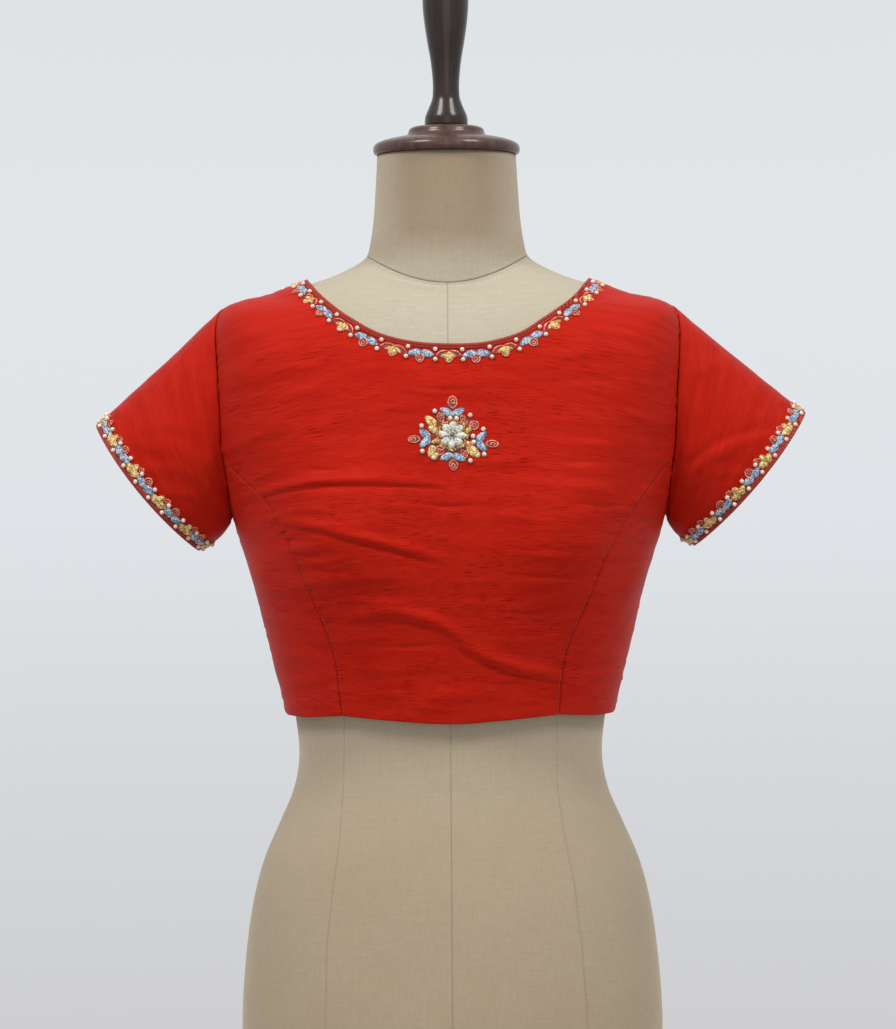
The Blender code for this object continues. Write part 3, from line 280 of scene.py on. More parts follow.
FRONT_CREASES = (
    (-143, 511.5, -100, 524, -12, 518, 1.7, -1.9),
    (-118, 490, -72, 478, -16, 461.5, 2.0, -1.6),
    (-70, 417, -20, 420, 6, 401, 2.2, -1.4),
    (8, 394, 40, 373, 86, 368, 2.2, -1.7),
    (-108, 534, -96, 531, -80, 532, 1.7, -0.9),
    (-26, 507, -6, 503, 14, 504, 1.7, -0.9),
    (-128, 482, -112, 478, -96, 479, 1.8, -1.1),
    (-120, 470, -104, 466, -86, 467, 1.8, -1.0),
    (-112, 458, -98, 455, -78, 456, 1.8, -0.8),
    (66, 600, 92, 598, 122, 600, 1.8, -0.8),
    (-30, 596, -4, 593, 26, 595, 1.8, -0.9),
    (60, 538, 88, 535, 118, 537, 1.8, -0.7),
    (96, 506, 116, 503, 138, 505, 1.9, -0.9),
    (52, 452, 80, 449, 104, 451, 1.8, -0.7),
    (-60, 398, -34, 396, -6, 399, 1.8, -0.8),
    (30, 424, 58, 421, 90, 423, 1.8, -0.6),
    (35, 498, 54, 495, 74, 493, 3.0, 0.7),
    (35, 469, 74, 467, 112, 465, 2.8, 0.8),
    (89, 519, 106, 518, 124, 513, 3.2, 0.7),
    (136, 522, 144, 518, 151, 516, 2.6, 0.8),
    (65, 569, 86, 570, 106, 566, 3.0, 0.6),
    (124, 578, 142, 574, 157, 568, 3.2, 0.9),
    (86, 552, 106, 551, 124, 548, 3.0, 0.6),
    (92, 611, 108, 611, 124, 608, 2.6, 0.7),
    (-84, 435, -50, 430, -19, 432, 3.2, 0.8),
    (-87, 420, -60, 417, -31, 419, 2.6, 0.6),
    (-99, 447, -64, 452, -31, 450, 3.2, 0.8),
    (-84, 403, -66, 403, -48, 406, 2.8, 0.7),
    (-78, 382, -50, 378, -25, 379, 3.0, 0.7),
    (35, 403, 60, 400, 83, 405, 3.0, 0.6),
    (20, 373, 50, 369, 80, 371, 2.6, 0.6),
    (11, 429, 26, 430, 41, 431, 2.8, 0.8),
    (-156, 522, -146, 524, -135, 531, 3.4, 0.8),
    (-162, 551, -148, 556, -132, 563, 3.6, 0.9),
    (-132, 584, -108, 593, -84, 605, 4.0, 0.7),
    (-102, 569, -84, 575, -66, 577, 3.2, 0.6),
    (-60, 577, -40, 581, -22, 580, 2.8, 0.6),
    (-38, 596, -22, 595, -7, 592, 2.6, 0.9),
    (-147, 602, -128, 609, -108, 614, 3.6, 0.7),
    (-128, 500, -112, 504, -90, 502, 2.8, 0.9),
    (-122, 489, -100, 492, -78, 490, 2.6, 0.7),
    (-116, 462, -98, 463, -76, 468, 2.8, 0.8),
    (-70, 505, -44, 503, -20, 505, 2.6, 0.5),
    (-8, 449, 18, 446, 44, 449, 3.0, 0.5),
    (44, 520, 66, 522, 84, 519, 3.0, 0.5),
    (10, 540, 40, 537, 66, 540, 3.4, 0.5),
    (-30, 352, -12, 348, 12, 349, 2.6, 0.6),
    (44, 352, 58, 355, 72, 353, 2.6, 0.5),
    (-60, 362, -44, 359, -30, 361, 2.8, 0.6),
    (-120, 400, -112, 392, -102, 388, 3.4, 0.9),
    (-118, 372, -108, 368, -96, 370, 3.0, 0.7),
    (-136, 446, -124, 440, -114, 438, 3.2, 0.8),
    (-152, 500, -143, 494, -134, 492, 3.0, 0.8),
    (118, 404, 110, 396, 100, 392, 3.4, 0.9),
    (122, 376, 112, 370, 98, 372, 3.0, 0.7),
    (138, 448, 126, 440, 114, 440, 3.2, 0.8),
    (152, 502, 144, 496, 136, 492, 3.0, 0.8),
)
BACK_CREASES = (
    (-146, 520, -112, 506, -74, 498, 4.0, 0.9),
    (144, 516, 112, 502, 70, 492, 4.0, 0.9),
    (-60, 560, -30, 556, -12, 558, 3.4, 0.6),
    (14, 540, 44, 537, 74, 541, 3.4, 0.6),
    (-120, 470, -84, 464, -50, 466, 3.0, -0.8),
    (120, 468, 88, 458, 44, 458, 3.0, -0.8),
    (-104, 424, -70, 418, -40, 420, 3.2, 0.8),
    (104, 420, 70, 412, 36, 414, 3.2, 0.8),
    (-70, 378, -44, 372, -20, 374, 3.0, 0.7),
    (18, 372, 40, 369, 64, 374, 3.0, 0.7),
    (-150, 600, -128, 612, -100, 624, 3.8, 0.7),
    (150, 602, 126, 614, 98, 622, 3.8, 0.7),
    (-90, 612, -60, 606, -34, 608, 3.4, 0.6),
    (30, 610, 56, 606, 84, 612, 3.4, 0.6),
    (-88, 536, -60, 530, -26, 532, 3.0, 0.6),
    (24, 520, 50, 516, 90, 524, 3.0, 0.6),
)


def near_line(across, up, line_across, line_up):
    """How far each place is from a line of points, and how far along the line, from 0 to 1, it is nearest."""
    spot = np.argmin((across[..., None] - line_across) ** 2 + (up[..., None] - line_up) ** 2, axis=-1)
    run, rise = np.gradient(line_across), np.gradient(line_up)
    length = np.hypot(run, rise)[spot]
    off_across, off_up = across - line_across[spot], up - line_up[spot]
    ahead = np.clip((off_across * run[spot] + off_up * rise[spot]) / length, -length / 2, length / 2)
    away = np.sqrt(np.maximum(off_across ** 2 + off_up ** 2 - ahead ** 2, 0))
    return away, (spot + ahead / length) / (len(line_up) - 1)


def fold_height(x, z, folds):
    """Height of the folds at places across and up: ridges and troughs that fade towards both ends."""
    ridge, trough = np.zeros_like(x), np.zeros_like(x)
    steps = np.linspace(0, 1, 17)
    for fold in folds:
        x1, z1, x2, z2, x3, z3, width, height = (value * MM for value in fold)
        line_x = (1 - steps) ** 2 * x1 + 2 * steps * (1 - steps) * x2 + steps ** 2 * x3
        line_z = (1 - steps) ** 2 * z1 + 2 * steps * (1 - steps) * z2 + steps ** 2 * z3
        away, nearest = near_line(x, z, line_x, line_z)
        fade = 0.35 + 0.65 * np.sin(np.pi * np.clip(nearest, 0.02, 0.98))
        shape = height * fade * np.exp(-(away / width) ** 2)
        ridge, trough = np.maximum(ridge, shape), np.minimum(trough, shape)
    return ridge + trough


def cloth_point(angle, ring, out=0.0, folded=True, fine=False):
    """A point on the blouse body, moved out from its inner face by the given distance."""
    size, base, normal, ahead = ring_sizes(ring), form_point(angle, ring), form_normal(angle, ring), np.cos(angle)
    facing = np.where(ahead > 0, size["ease_front"], size["ease_back"])
    ease = facing + (size["ease_side"] - facing) * np.sin(angle) ** 4
    wide, tall = BRIDGE_SPREAD
    bridge = np.exp(-(base[..., 0] / wide) ** 2 - ((base[..., 2] - BUST_HEIGHT) / tall) ** 2)
    ease = ease + BRIDGE_EASE * bridge * (ahead > 0)
    if folded:
        x, z = base[..., 0], base[..., 2]
        front, back = fold_height(x, z, FRONT_FOLDS), fold_height(x, z, BACK_FOLDS)
        if fine:
            front, back = front + fold_height(x, z, FRONT_CREASES), back + fold_height(x, z, BACK_CREASES)
        ease = ease + np.where(ahead > 0, front, back) * ease_step(0.0, 0.25, np.abs(ahead))
    return base + normal * (np.maximum(ease, REST_GAP) + out)[..., None]


print("creases by hand:", len(FRONT_CREASES) + len(BACK_CREASES))

# %% [markdown]
# A pattern cutter draws each panel as four edge lines. The same is done here: a spot is an angle and a ring
# on the body, and an edge is a line of spots. Where only a place in the photograph is known, across and up,
# the spot is found by a few Newton steps. A panel is then filled in from its four edges.

# %% Cut lines
NECKLINE = ((-111.5, 683.9), (-108.0, 679.5), (-102.5, 673), (-97, 667.6), (-89.5, 661), (-78, 652.5),
            (-54, 639), (-27, 632), (0, 630), (28, 631), (55, 638), (74, 649.5), (81.5, 654.5), (89.5, 660),
            (97, 665.8), (104, 673), (109, 679.5), (112.5, 683.3))
PRINCESS = {-1: ((-178, 542), (-165, 529), (-146, 512), (-124, 476), (-106, 434), (-90, 391), (-84, 342)),
            1: ((174, 541), (160, 528), (144, 509), (124, 473), (106.5, 431), (89, 388), (84, 342))}
HEM_FRONT = ((-84, 342), (-42, 338), (0, 335.5), (42, 338), (84, 342))
HEM_SIDE_DROP = (342, 340, 346)
HEM_BACK = (346, 342, 340)
NECK_BACK_HEIGHT = 641
ARMHOLE_MIDDLE, ARMHOLE_REACH = (3, 580.5), (54, 57, 82.3)
OVERLAP, BACK_RADIUS, SEAM_GAP = 0.020, 0.110, 0.0003
BLOUSE_RINGS, SHOULDER_RING, HEM_RINGS = (9.0, 24.0), 19, (9, 13)
FRONT_ANGLES, FRONT_AXES, SIDE_AXES = (-math.pi / 2, math.pi / 2), [0, 2], [1, 2]
SIDE_ANGLES = {-1: (-math.radians(165), -math.radians(15)), 1: (math.radians(15), math.radians(165))}
SIDES = {"left": -1, "right": 1}
EVENING_STEPS = 24                 # how often a panel's cells are evened out
EDGE_CUT = 0.0008                  # a panel's edge tucks in under the cord
NECK_BACK_DROP = 1.1               # how soon the back neckline drops behind the shoulder


def find_spots(targets, axes, angles):
    targets = np.asarray(targets, float)
    trial_angle, trial_ring = np.meshgrid(np.linspace(*angles, 61), np.linspace(*BLOUSE_RINGS, 91))
    trial = cloth_point(trial_angle, trial_ring, folded=False)[..., axes].reshape(-1, 2)
    nearest = np.argmin(((trial[None] - targets[:, None]) ** 2).sum(-1), axis=1)
    spot = np.stack([trial_angle.ravel()[nearest], trial_ring.ravel()[nearest]], axis=-1)
    for _ in range(12):
        here = cloth_point(spot[:, 0], spot[:, 1], folded=False)[:, axes]
        turned = cloth_point(spot[:, 0] + 1e-4, spot[:, 1], folded=False)[:, axes]
        raised = cloth_point(spot[:, 0], spot[:, 1] + 1e-3, folded=False)[:, axes]
        slopes = np.stack([(turned - here) / 1e-4, (raised - here) / 1e-3], axis=-1)
        step = np.linalg.solve(slopes, (targets - here)[..., None])[..., 0]
        spot = spot + np.clip(step, (-0.1, -0.5), (0.1, 0.5))
        spot[:, 0] = np.clip(spot[:, 0], *angles)
    return spot


def smooth_line(points, shares):
    points = np.asarray(points, float) * MM
    fine = smooth_columns(points, np.linspace(0, len(points) - 1, 40 * len(points)))
    lengths = line_lengths(fine)
    wanted = np.asarray(shares) * lengths[-1]
    return np.stack([np.interp(wanted, lengths, fine[:, i]) for i in (0, 1)], axis=-1)


def line_lengths(points):
    """How far along a line each of its points is."""
    return np.concatenate([[0], np.cumsum(np.linalg.norm(np.diff(points, axis=0), axis=1))])


def step_towards(spots, wanted):
    here = cloth_point(spots[..., 0], spots[..., 1], folded=False)
    turned = (cloth_point(spots[..., 0] + 1e-4, spots[..., 1], folded=False) - here) / 1e-4
    raised = (cloth_point(spots[..., 0], spots[..., 1] + 1e-3, folded=False) - here) / 1e-3
    away = wanted - here
    a, b, c = (turned * turned).sum(-1), (turned * raised).sum(-1), (raised * raised).sum(-1)
    p, q = (turned * away).sum(-1), (raised * away).sum(-1)
    scale = a * c - b * b
    step = np.stack([(c * p - b * q) / scale, (a * q - b * p) / scale], axis=-1)
    return spots + np.clip(step, (-0.15, -0.7), (0.15, 0.7))


def blend_edges(bottom, top, left, right):
    across = np.linspace(0, 1, len(bottom))[None, :, None]
    up = np.linspace(0, 1, len(left))[:, None, None]
    corners = ((1 - up) * ((1 - across) * bottom[0] + across * bottom[-1])
               + up * ((1 - across) * top[0] + across * top[-1]))
    return ((1 - up) * bottom[None] + up * top[None] + (1 - across) * left[:, None]
            + across * right[:, None] - corners)


def patch(bottom, top, left, right):
    """Fills four edge lines with a grid of spots: rows run from the bottom line to the top line."""
    edges = (bottom, top, left, right)
    spots = blend_edges(*edges)
    wanted = blend_edges(*(cloth_point(edge[:, 0], edge[:, 1], folded=False) for edge in edges))
    for _ in range(8):
        spots[1:-1, 1:-1] = step_towards(spots[1:-1, 1:-1], wanted[1:-1, 1:-1])
    for _ in range(EVENING_STEPS):
        here = cloth_point(spots[..., 0], spots[..., 1], folded=False)
        middle = (here[2:, 1:-1] + here[:-2, 1:-1] + here[1:-1, 2:] + here[1:-1, :-2]) / 4
        spots[1:-1, 1:-1] = step_towards(spots[1:-1, 1:-1], middle)
    return spots


def armhole_point(turn):
    """Place along Y and up on the armhole oval. A turn of 0 is the shoulder point, 180 the underarm."""
    ahead = np.sin(np.asarray(turn, float))
    reach = np.where(ahead > 0, ARMHOLE_REACH[0], ARMHOLE_REACH[1])
    y = ARMHOLE_MIDDLE[0] * np.abs(ahead) - reach * ahead
    return np.stack([y, ARMHOLE_MIDDLE[1] + ARMHOLE_REACH[2] * np.cos(turn)], axis=-1) * MM


def armhole_spots(side, turns):
    spots = find_spots(armhole_point(turns), SIDE_AXES, SIDE_ANGLES[side])
    spots[np.isclose(np.sin(turns), 0, atol=1e-9), 0] = side * math.pi / 2
    return spots


def seam_spots(side, low, high, count):
    rings = np.linspace(*BLOUSE_RINGS, 400)
    heights = cloth_point(np.full(400, side * math.pi / 2), rings, folded=False)[:, 2]
    wanted = np.interp(np.linspace(low, high, count), heights, rings)
    return np.stack([np.full(count, side * math.pi / 2), wanted], axis=-1)


def princess_turn(side):
    return math.acos((PRINCESS[side][0][1] - ARMHOLE_MIDDLE[1]) / ARMHOLE_REACH[2])


def princess_spots(side, count):
    shares = np.linspace(0, 1, count)
    spots = find_spots(smooth_line(PRINCESS[side][::-1], shares), FRONT_AXES, FRONT_ANGLES)
    end = armhole_spots(side, np.array([princess_turn(side)]))[0]
    return spots + (end - spots[-1]) * ease_step(0.55, 1.0, shares)[:, None]


def join_lines(*lines):
    return np.vstack([lines[0]] + [line[1:] for line in lines[1:]])


def pinned(spots, first, last):
    share = np.linspace(0, 1, len(spots))[:, None]
    return (spots + (first - spots[0]) * ease_step(0.85, 1.0, 1 - share)
            + (last - spots[-1]) * ease_step(0.85, 1.0, share))


def neck_point(side, further=0.0):
    rings = np.linspace(*BLOUSE_RINGS, 400)
    line = cloth_point(np.full(400, side * math.pi / 2), rings, folded=False)
    upper = rings > SHOULDER_RING
    target = abs(NECKLINE[0 if side < 0 else -1][0]) * MM + further
    return np.array([side * math.pi / 2, np.interp(-target, -np.abs(line[upper, 0]), rings[upper])])


def even_spots(spots, count):
    points = cloth_point(spots[:, 0], spots[:, 1], folded=False)
    lengths = line_lengths(points)
    wanted = np.linspace(0, lengths[-1], count)
    return np.stack([np.interp(wanted, lengths, spots[:, i]) for i in (0, 1)], axis=-1)


def walk(spots, reach, side, steps=6):
    """Moves each spot of a line over the cloth, square to the line, by its own distance."""
    moved = spots.copy()
    along = unit(np.gradient(cloth_point(spots[:, 0], spots[:, 1], folded=False), axis=0))
    for _ in range(steps):
        here = cloth_point(moved[:, 0], moved[:, 1], folded=False)
        outward = unit(np.cross(form_normal(moved[:, 0], moved[:, 1]), along) * side)
        moved = step_towards(moved, here + outward * np.reshape(reach / steps, (-1, 1)))
    return moved


def hem_spots(angles, heights):
    rings = np.linspace(*HEM_RINGS, 200)
    levels = cloth_point(np.zeros(200), rings, folded=False)[:, 2]
    return np.stack([angles, np.interp(heights, levels, rings)], axis=-1)


def front_neckline():
    line = find_spots(smooth_line(NECKLINE, np.linspace(0, 1, 241)), FRONT_AXES, FRONT_ANGLES)
    return even_spots(np.vstack([neck_point(-1), line, neck_point(1)]), 81)


def back_neckline(side):
    neck, centre = neck_point(side), side * (math.pi + OVERLAP / 2 / BACK_RADIUS)
    low = float(np.interp(NECK_BACK_HEIGHT, RINGS[:, 2], np.arange(len(RINGS))))
    angles = np.linspace(neck[0], centre, 81)
    share = np.sin(np.minimum(np.abs(angles) - math.pi / 2, math.pi / 2)) ** NECK_BACK_DROP
    return even_spots(np.stack([angles, neck[1] + (low - neck[1]) * share], axis=-1), 81)


neck_line = cloth_point(*front_neckline().T, folded=False)
print("front neckline:", round(float(line_lengths(neck_line)[-1]), 3), "m")

# %% [markdown]
# Each panel is laid out with a cell of about three millimetres. The counts below share out the rows and
# columns, so that two panels meet at the same points of a seam. At the front, a row is later put between
# every two, which makes the mesh fine enough for a crisp crease.

# %% Panels as grids of spots
SHOULDER_CELLS, NECK_CELLS, SEAM_CELLS, SIDE_CELLS = 22, 84, 92, 34
ARMHOLE_FRONT_CELLS, ARMHOLE_BACK_CELLS, BACK_NECK_CELLS = 56, 84, 42


def sleeve_turns(side):
    low = princess_turn(side)
    return np.concatenate([np.linspace(0, low, ARMHOLE_FRONT_CELLS + 1)[:-1],
                           np.linspace(low, math.pi, SIDE_CELLS + 1)[:-1],
                           np.linspace(math.pi, 2 * math.pi, ARMHOLE_BACK_CELLS + 1)])


def front_spots():
    sides = {}
    for side in (-1, 1):
        turns = np.linspace(princess_turn(side), 0, ARMHOLE_FRONT_CELLS + 1)
        sides[side] = join_lines(princess_spots(side, SEAM_CELLS + 1), armhole_spots(side, turns))
    neck = {side: neck_point(side, EDGE_CUT) for side in (-1, 1)}
    cut = pinned(walk(front_neckline(), np.full(81, EDGE_CUT), -1), neck[-1], neck[1])
    top = join_lines(np.linspace(sides[-1][-1], neck[-1], SHOULDER_CELLS + 1), even_spots(cut, NECK_CELLS + 1),
                     np.linspace(neck[1], sides[1][-1], SHOULDER_CELLS + 1))
    bottom = find_spots(smooth_line(HEM_FRONT, np.linspace(0, 1, len(top))), FRONT_AXES, FRONT_ANGLES)
    return patch(pinned(bottom, sides[-1][0], sides[1][0]), top, sides[-1], sides[1])


def side_spots(side):
    princess = princess_spots(side, SEAM_CELLS + 1)
    low, dip, high = (value * MM for value in HEM_SIDE_DROP)
    seam = seam_spots(side, high, armhole_point(math.pi)[1], SEAM_CELLS + 1)
    seam[-1] = armhole_spots(side, np.array([math.pi]))[0]
    top = armhole_spots(side, np.linspace(math.pi, princess_turn(side), SIDE_CELLS + 1))
    share = np.linspace(0, 1, SIDE_CELLS + 1)
    angles = seam[0, 0] + (princess[0, 0] - seam[0, 0]) * share
    bottom = hem_spots(angles, np.interp(share, (0, 0.25, 0.6, 1), (high, dip + 0.001, dip, low)))
    return patch(pinned(bottom, seam[0], princess[0]), top, seam, princess)


def back_spots(side):
    heights = [value * MM for value in HEM_BACK]
    seam = seam_spots(side, heights[0], armhole_point(math.pi)[1], SEAM_CELLS + 1)
    seam[-1] = armhole_spots(side, np.array([math.pi]))[0]
    turns = np.linspace(math.pi, 2 * math.pi, ARMHOLE_BACK_CELLS + 1)
    outer = join_lines(seam, armhole_spots(side, turns))
    neck, centre = neck_point(side, EDGE_CUT), side * (math.pi + OVERLAP / 2 / BACK_RADIUS)
    cut = walk(back_neckline(side), np.full(81, EDGE_CUT), -side)
    cut = even_spots(pinned(cut, neck, np.array([centre, cut[-1, 1]])), BACK_NECK_CELLS + 1)
    top = join_lines(np.linspace(outer[-1], neck, SHOULDER_CELLS + 1), cut)
    share = np.linspace(0, 1, len(top))
    bottom = hem_spots(outer[0, 0] + (centre - outer[0, 0]) * share, np.interp(share, (0, 0.4, 1), heights))
    bottom = pinned(bottom, outer[0], np.array([centre, bottom[-1, 1]]))
    inner = np.stack([np.full(len(outer), centre), np.linspace(bottom[-1, 1], top[-1, 1], len(outer))], axis=-1)
    return patch(bottom, top, outer, inner)


def overlap_lift(x, side):
    if side < 0:
        return np.zeros_like(x)
    return (CLOTH + 1.5 * SEAM_GAP) * (1 - ease_step(OVERLAP, 2 * OVERLAP, x))


panels = {"front_center": front_spots()}
for name, side in SIDES.items():
    panels["front_side_" + name] = side_spots(side)
    panels["back_" + name] = back_spots(side)
print({name: spots.shape[:2] for name, spots in panels.items()})

# %% [markdown]
# A sheet starts as Blender's own flat grid, and each corner is laid on its place, as cloth is laid on a form.
# Its UV map, named weave, keeps where the threads run in metres: U follows the weft and V the warp. The weft
# is level at the bust and droops towards both shoulders, because the cloth is drawn over them.
# Silk puckers beside a machined seam, and the seam itself lies in a shallow valley, so both are added here.

# %% Lay cloth on its places
def finer(spots):
    """Puts a row of spots halfway between every two rows."""
    fine = np.empty((2 * len(spots) - 1,) + spots.shape[1:])
    fine[::2], fine[1::2] = spots, (spots[1:] + spots[:-1]) / 2
    return fine


def lay_sheet(places, normals, weave, closed=False):
    rows, columns = places.shape[:2]
    sheet = bmesh.new()
    bmesh.ops.create_grid(sheet, x_segments=columns - 1, y_segments=rows - 1, size=0.5)
    threads = sheet.loops.layers.uv.new("weave")
    spots = {corner: (round((corner.co.y + 0.5) * (rows - 1)), round((corner.co.x + 0.5) * (columns - 1)))
             for corner in sheet.verts}
    for face in sheet.faces:
        for loop in face.loops:
            loop[threads].uv = weave[spots[loop.vert]]
    for corner, spot in spots.items():
        corner.co = places[spot]
    sheet.normal_update()
    if sum(face.normal.dot(Vector(normals[spots[face.verts[0]]])) for face in sheet.faces) < 0:
        bmesh.ops.reverse_faces(sheet, faces=sheet.faces)
    if closed:
        bmesh.ops.remove_doubles(sheet, verts=sheet.verts, dist=1e-5)
    return sheet


def finish_piece(name, shape, material, slot, *nodes):
    """Turns a bmesh into a smooth piece that rides on the model and takes the place of its solids."""
    mesh = bpy.data.meshes.new(name)
    shape.to_mesh(mesh)
    shape.free()
    mesh.materials.append(material)
    mesh.shade_smooth()
    piece = bpy.data.objects.new(name, mesh)
    bpy.context.scene.collection.objects.link(piece)
    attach(piece, "root")
    if nodes:
        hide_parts(*nodes)
    return piece


def seam_relief(points, line, amount, reach, start):
    """Puckers that run away from a seam, and the seam's own valley, as a height at each point."""
    away = np.linalg.norm(points[..., None, :] - line, axis=-1)
    nearest = line_lengths(line)[np.argmin(away, axis=-1)]
    away = away.min(axis=-1)
    wave = (np.sin(nearest * 2 * math.pi / 0.0097 + start) + 0.8 * np.sin(nearest * 2 * math.pi / 0.0151 + 2 * start)
            + 0.5 * np.sin(nearest * 2 * math.pi / 0.0064 + 3 * start)) / 2.3
    swing = 0.55 + 0.45 * np.sin(nearest * 2 * math.pi / 0.071 + start)
    return amount * wave * swing * np.exp(-(away / reach) ** 2) - 0.0004 * np.exp(-(away / 0.0014) ** 2)


def uneven(points, height):
    """The slight unevenness of hand-woven silk, drawn out along the weft."""
    flat = points.reshape(-1, 3)
    broad = [noise.noise(Vector((x * 11, y * 11, z * 38))) for x, y, z in flat]
    small = [noise.noise(Vector((x * 26 + 9, y * 26, z * 120))) for x, y, z in flat]
    return height * (0.7 * np.array(broad) + 0.45 * np.array(small)).reshape(points.shape[:-1])


# %% [markdown]
# Dupion silk is a plain weave with a fine even warp and a thick, knotty weft. The weft gives it short level
# slubs, and the smooth filament gives it a soft glow at grazing angles. Real threads are about a third of a
# millimetre apart, too fine to show here, so the weft is drawn in streaks 0.8 mm wide and 12 mm long, and the
# slubs 0.9 mm wide and 13 mm long. They stand up a little in the bump as well as in the colour, where they are
# darker: partly their own tone and partly painted shade along them. Away from the slubs the colour is lifted
# towards a lighter red, a painted sheen. The threads follow the cloth over the shoulders.

# %% Red dupion silk
def silk_material(name, knots, glow):
    silk, shader = new_material(name)
    threads = node(silk, "ShaderNodeUVMap", {"uv_map": "weave"}).outputs["UV"]

    def streaks(along, across, detail, shift):
        """Noise drawn out along the weft: lengths in metres of a streak and of its width."""
        scaled = node(silk, "ShaderNodeMapping", Vector=threads, Scale=(1 / along, 1 / across, 1),
                      Location=(shift, shift, 0))
        return node(silk, "ShaderNodeTexNoise", Vector=scaled.outputs[0], Scale=1.0, Detail=detail,
                    Roughness=0.55).outputs["Fac"]

    weft, slubs, wisps = streaks(0.012, 0.0008, 2.0, 0), streaks(0.013, 0.0009, 1.0, 7), streaks(0.050, 0.0090, 2.0, 3)
    patches, warp = streaks(0.090, 0.035, 2.0, 11), streaks(0.0014, 0.030, 1.0, 5)
    # Painted shade and sheen: the slubs darken the colour, partly their own tone and partly painted shade; between them
    # it is lifted towards a lit red by glow, a painted sheen.
    slub = node(silk, "ShaderNodeMapRange", {"interpolation_type": "SMOOTHSTEP"}, Value=slubs, From_Min=0.58,
                From_Max=0.69).outputs[0]
    bright = node(silk, "ShaderNodeMapRange", {"interpolation_type": "SMOOTHSTEP"}, Value=slubs, From_Min=0.44,
                  From_Max=0.28, To_Max=glow).outputs[0]
    knotty = node(silk, "ShaderNodeMapRange", Value=patches, From_Min=0.42, From_Max=0.66,
                  To_Min=0.16 * knots, To_Max=0.80 * knots).outputs[0]
    base = stops(node(silk, "ShaderNodeValToRGB", Fac=weft), (0.32, "#B61C10"), (0.68, "#C52416"))
    tint = stops(node(silk, "ShaderNodeValToRGB", Fac=wisps), (0.35, "#B41C11"), (0.65, "#CA2919"))
    soft = node(silk, "ShaderNodeMix", {"data_type": "RGBA"}, Factor=0.45, i6=base, i7=tint).outputs[2]
    lit = node(silk, "ShaderNodeMix", {"data_type": "RGBA"}, i0=bright, i6=soft, i7=linear("#E0402A")).outputs[2]
    dark = node(silk, "ShaderNodeMix", {"data_type": "RGBA"}, i0=node(
        silk, "ShaderNodeMath", {"operation": "MULTIPLY"}, i0=slub, i1=knotty).outputs[0], i6=lit,
        i7=linear("#7C0D07")).outputs[2]
    height = node(silk, "ShaderNodeMath", {"operation": "MULTIPLY_ADD"}, i0=slub, i1=0.8, i2=weft).outputs[0]
    height = node(silk, "ShaderNodeMath", {"operation": "MULTIPLY_ADD"}, i0=warp, i1=0.25, i2=height).outputs[0]
    relief = node(silk, "ShaderNodeBump", Strength=0.30, Distance=0.0005, Height=height)
    fill(silk, shader, Base_Color=dark, Normal=relief.outputs[0], Roughness=0.48, Sheen_Weight=0.03,
         Sheen_Roughness=0.40, Sheen_Tint=linear("#FF6A50"), IOR=1.45, Specular_IOR_Level=0.11,
         Specular_Tint=linear("#FF6A50"))
    return silk


silk = silk_material("red_dupion_silk", 1.0, 0.20)
sleeve_silk = silk_material("smoother_red_silk", 0.35, 0.06)
print("silk nodes:", len(silk.node_tree.nodes))

# %% [markdown]
# The body of the blouse is five panels. Each is laid on the outer face of its solid, puckered at its seams,
# drawn in by a hair at the seam lines and given its thickness inward by a Solidify modifier.

# %% Blouse body
WEAVE_ROUND = 0.135      # metres of cloth for one radian round the body


def seam_lines():
    lines = []
    for side in (-1, 1):
        for spots in (princess_spots(side, 90), armhole_spots(side, sleeve_turns(side)),
                      seam_spots(side, 0.346, armhole_point(math.pi)[1], 60),
                      np.linspace(armhole_spots(side, np.array([0.0]))[0], neck_point(side), 30)):
            lines.append(cloth_point(spots[:, 0], spots[:, 1], CLOTH, folded=False))
    return lines


def drawn_in(places, gap):
    """Pulls the four edges of a panel inward by the seam's clearance."""
    places = places.copy()
    for row, inner in ((np.s_[-1], np.s_[-2]), (np.s_[:, 0], np.s_[:, 1]), (np.s_[:, -1], np.s_[:, -2])):
        places[row] += unit(places[inner] - places[row]) * gap
    return places


seams = seam_lines()
for name, coarse in panels.items():
    spots = finer(coarse) if name.startswith("front") else coarse
    angle, ring = spots[..., 0], spots[..., 1]
    normal = form_normal(angle, ring)
    places = cloth_point(angle, ring, CLOTH, fine=True)
    x, z = places[..., 0], places[..., 2]
    relief = uneven(places, 0.0007)
    for number, line in enumerate(seams):
        relief = relief + seam_relief(places, line, 0.0008, 0.010, number)
    if name.startswith("back"):
        relief = relief + overlap_lift(x, -1 if name.endswith("left") else 1)
    places = drawn_in(places + normal * relief[..., None], SEAM_GAP / 2)
    over_shoulder = 0.8 * (0.10 - np.abs(places[..., 1])) * ease_step(0.60, 0.67, z)
    weave = np.stack([angle * WEAVE_ROUND, z + x ** 2 * ease_step(0.46, 0.60, z) + over_shoulder], axis=-1)
    piece = finish_piece("silk_" + name, lay_sheet(places, normal, weave), silk, "silk", name)
    lining = piece.modifiers.new("Thickness", "SOLIDIFY")
    lining.thickness, lining.offset = 0.0012, -1.0

# %% [markdown]
# A short set-in sleeve is a tube between the armhole and the cuff. It is lofted between the two ovals, swells
# a little between them, and carries its own folds: a deep one from the underarm up to the front of the cuff.

# %% Sleeves
# Columns: the cuff's upper corner across, up; its lower corner across, up; half its depth; its bow, in mm.
CUFFS = {"left": (-281, 570, -202, 472, 45, 5), "right": (285, 576.5, 198, 473.5, 46, 5)}
CUFF_MIDDLE_Y = 0.003
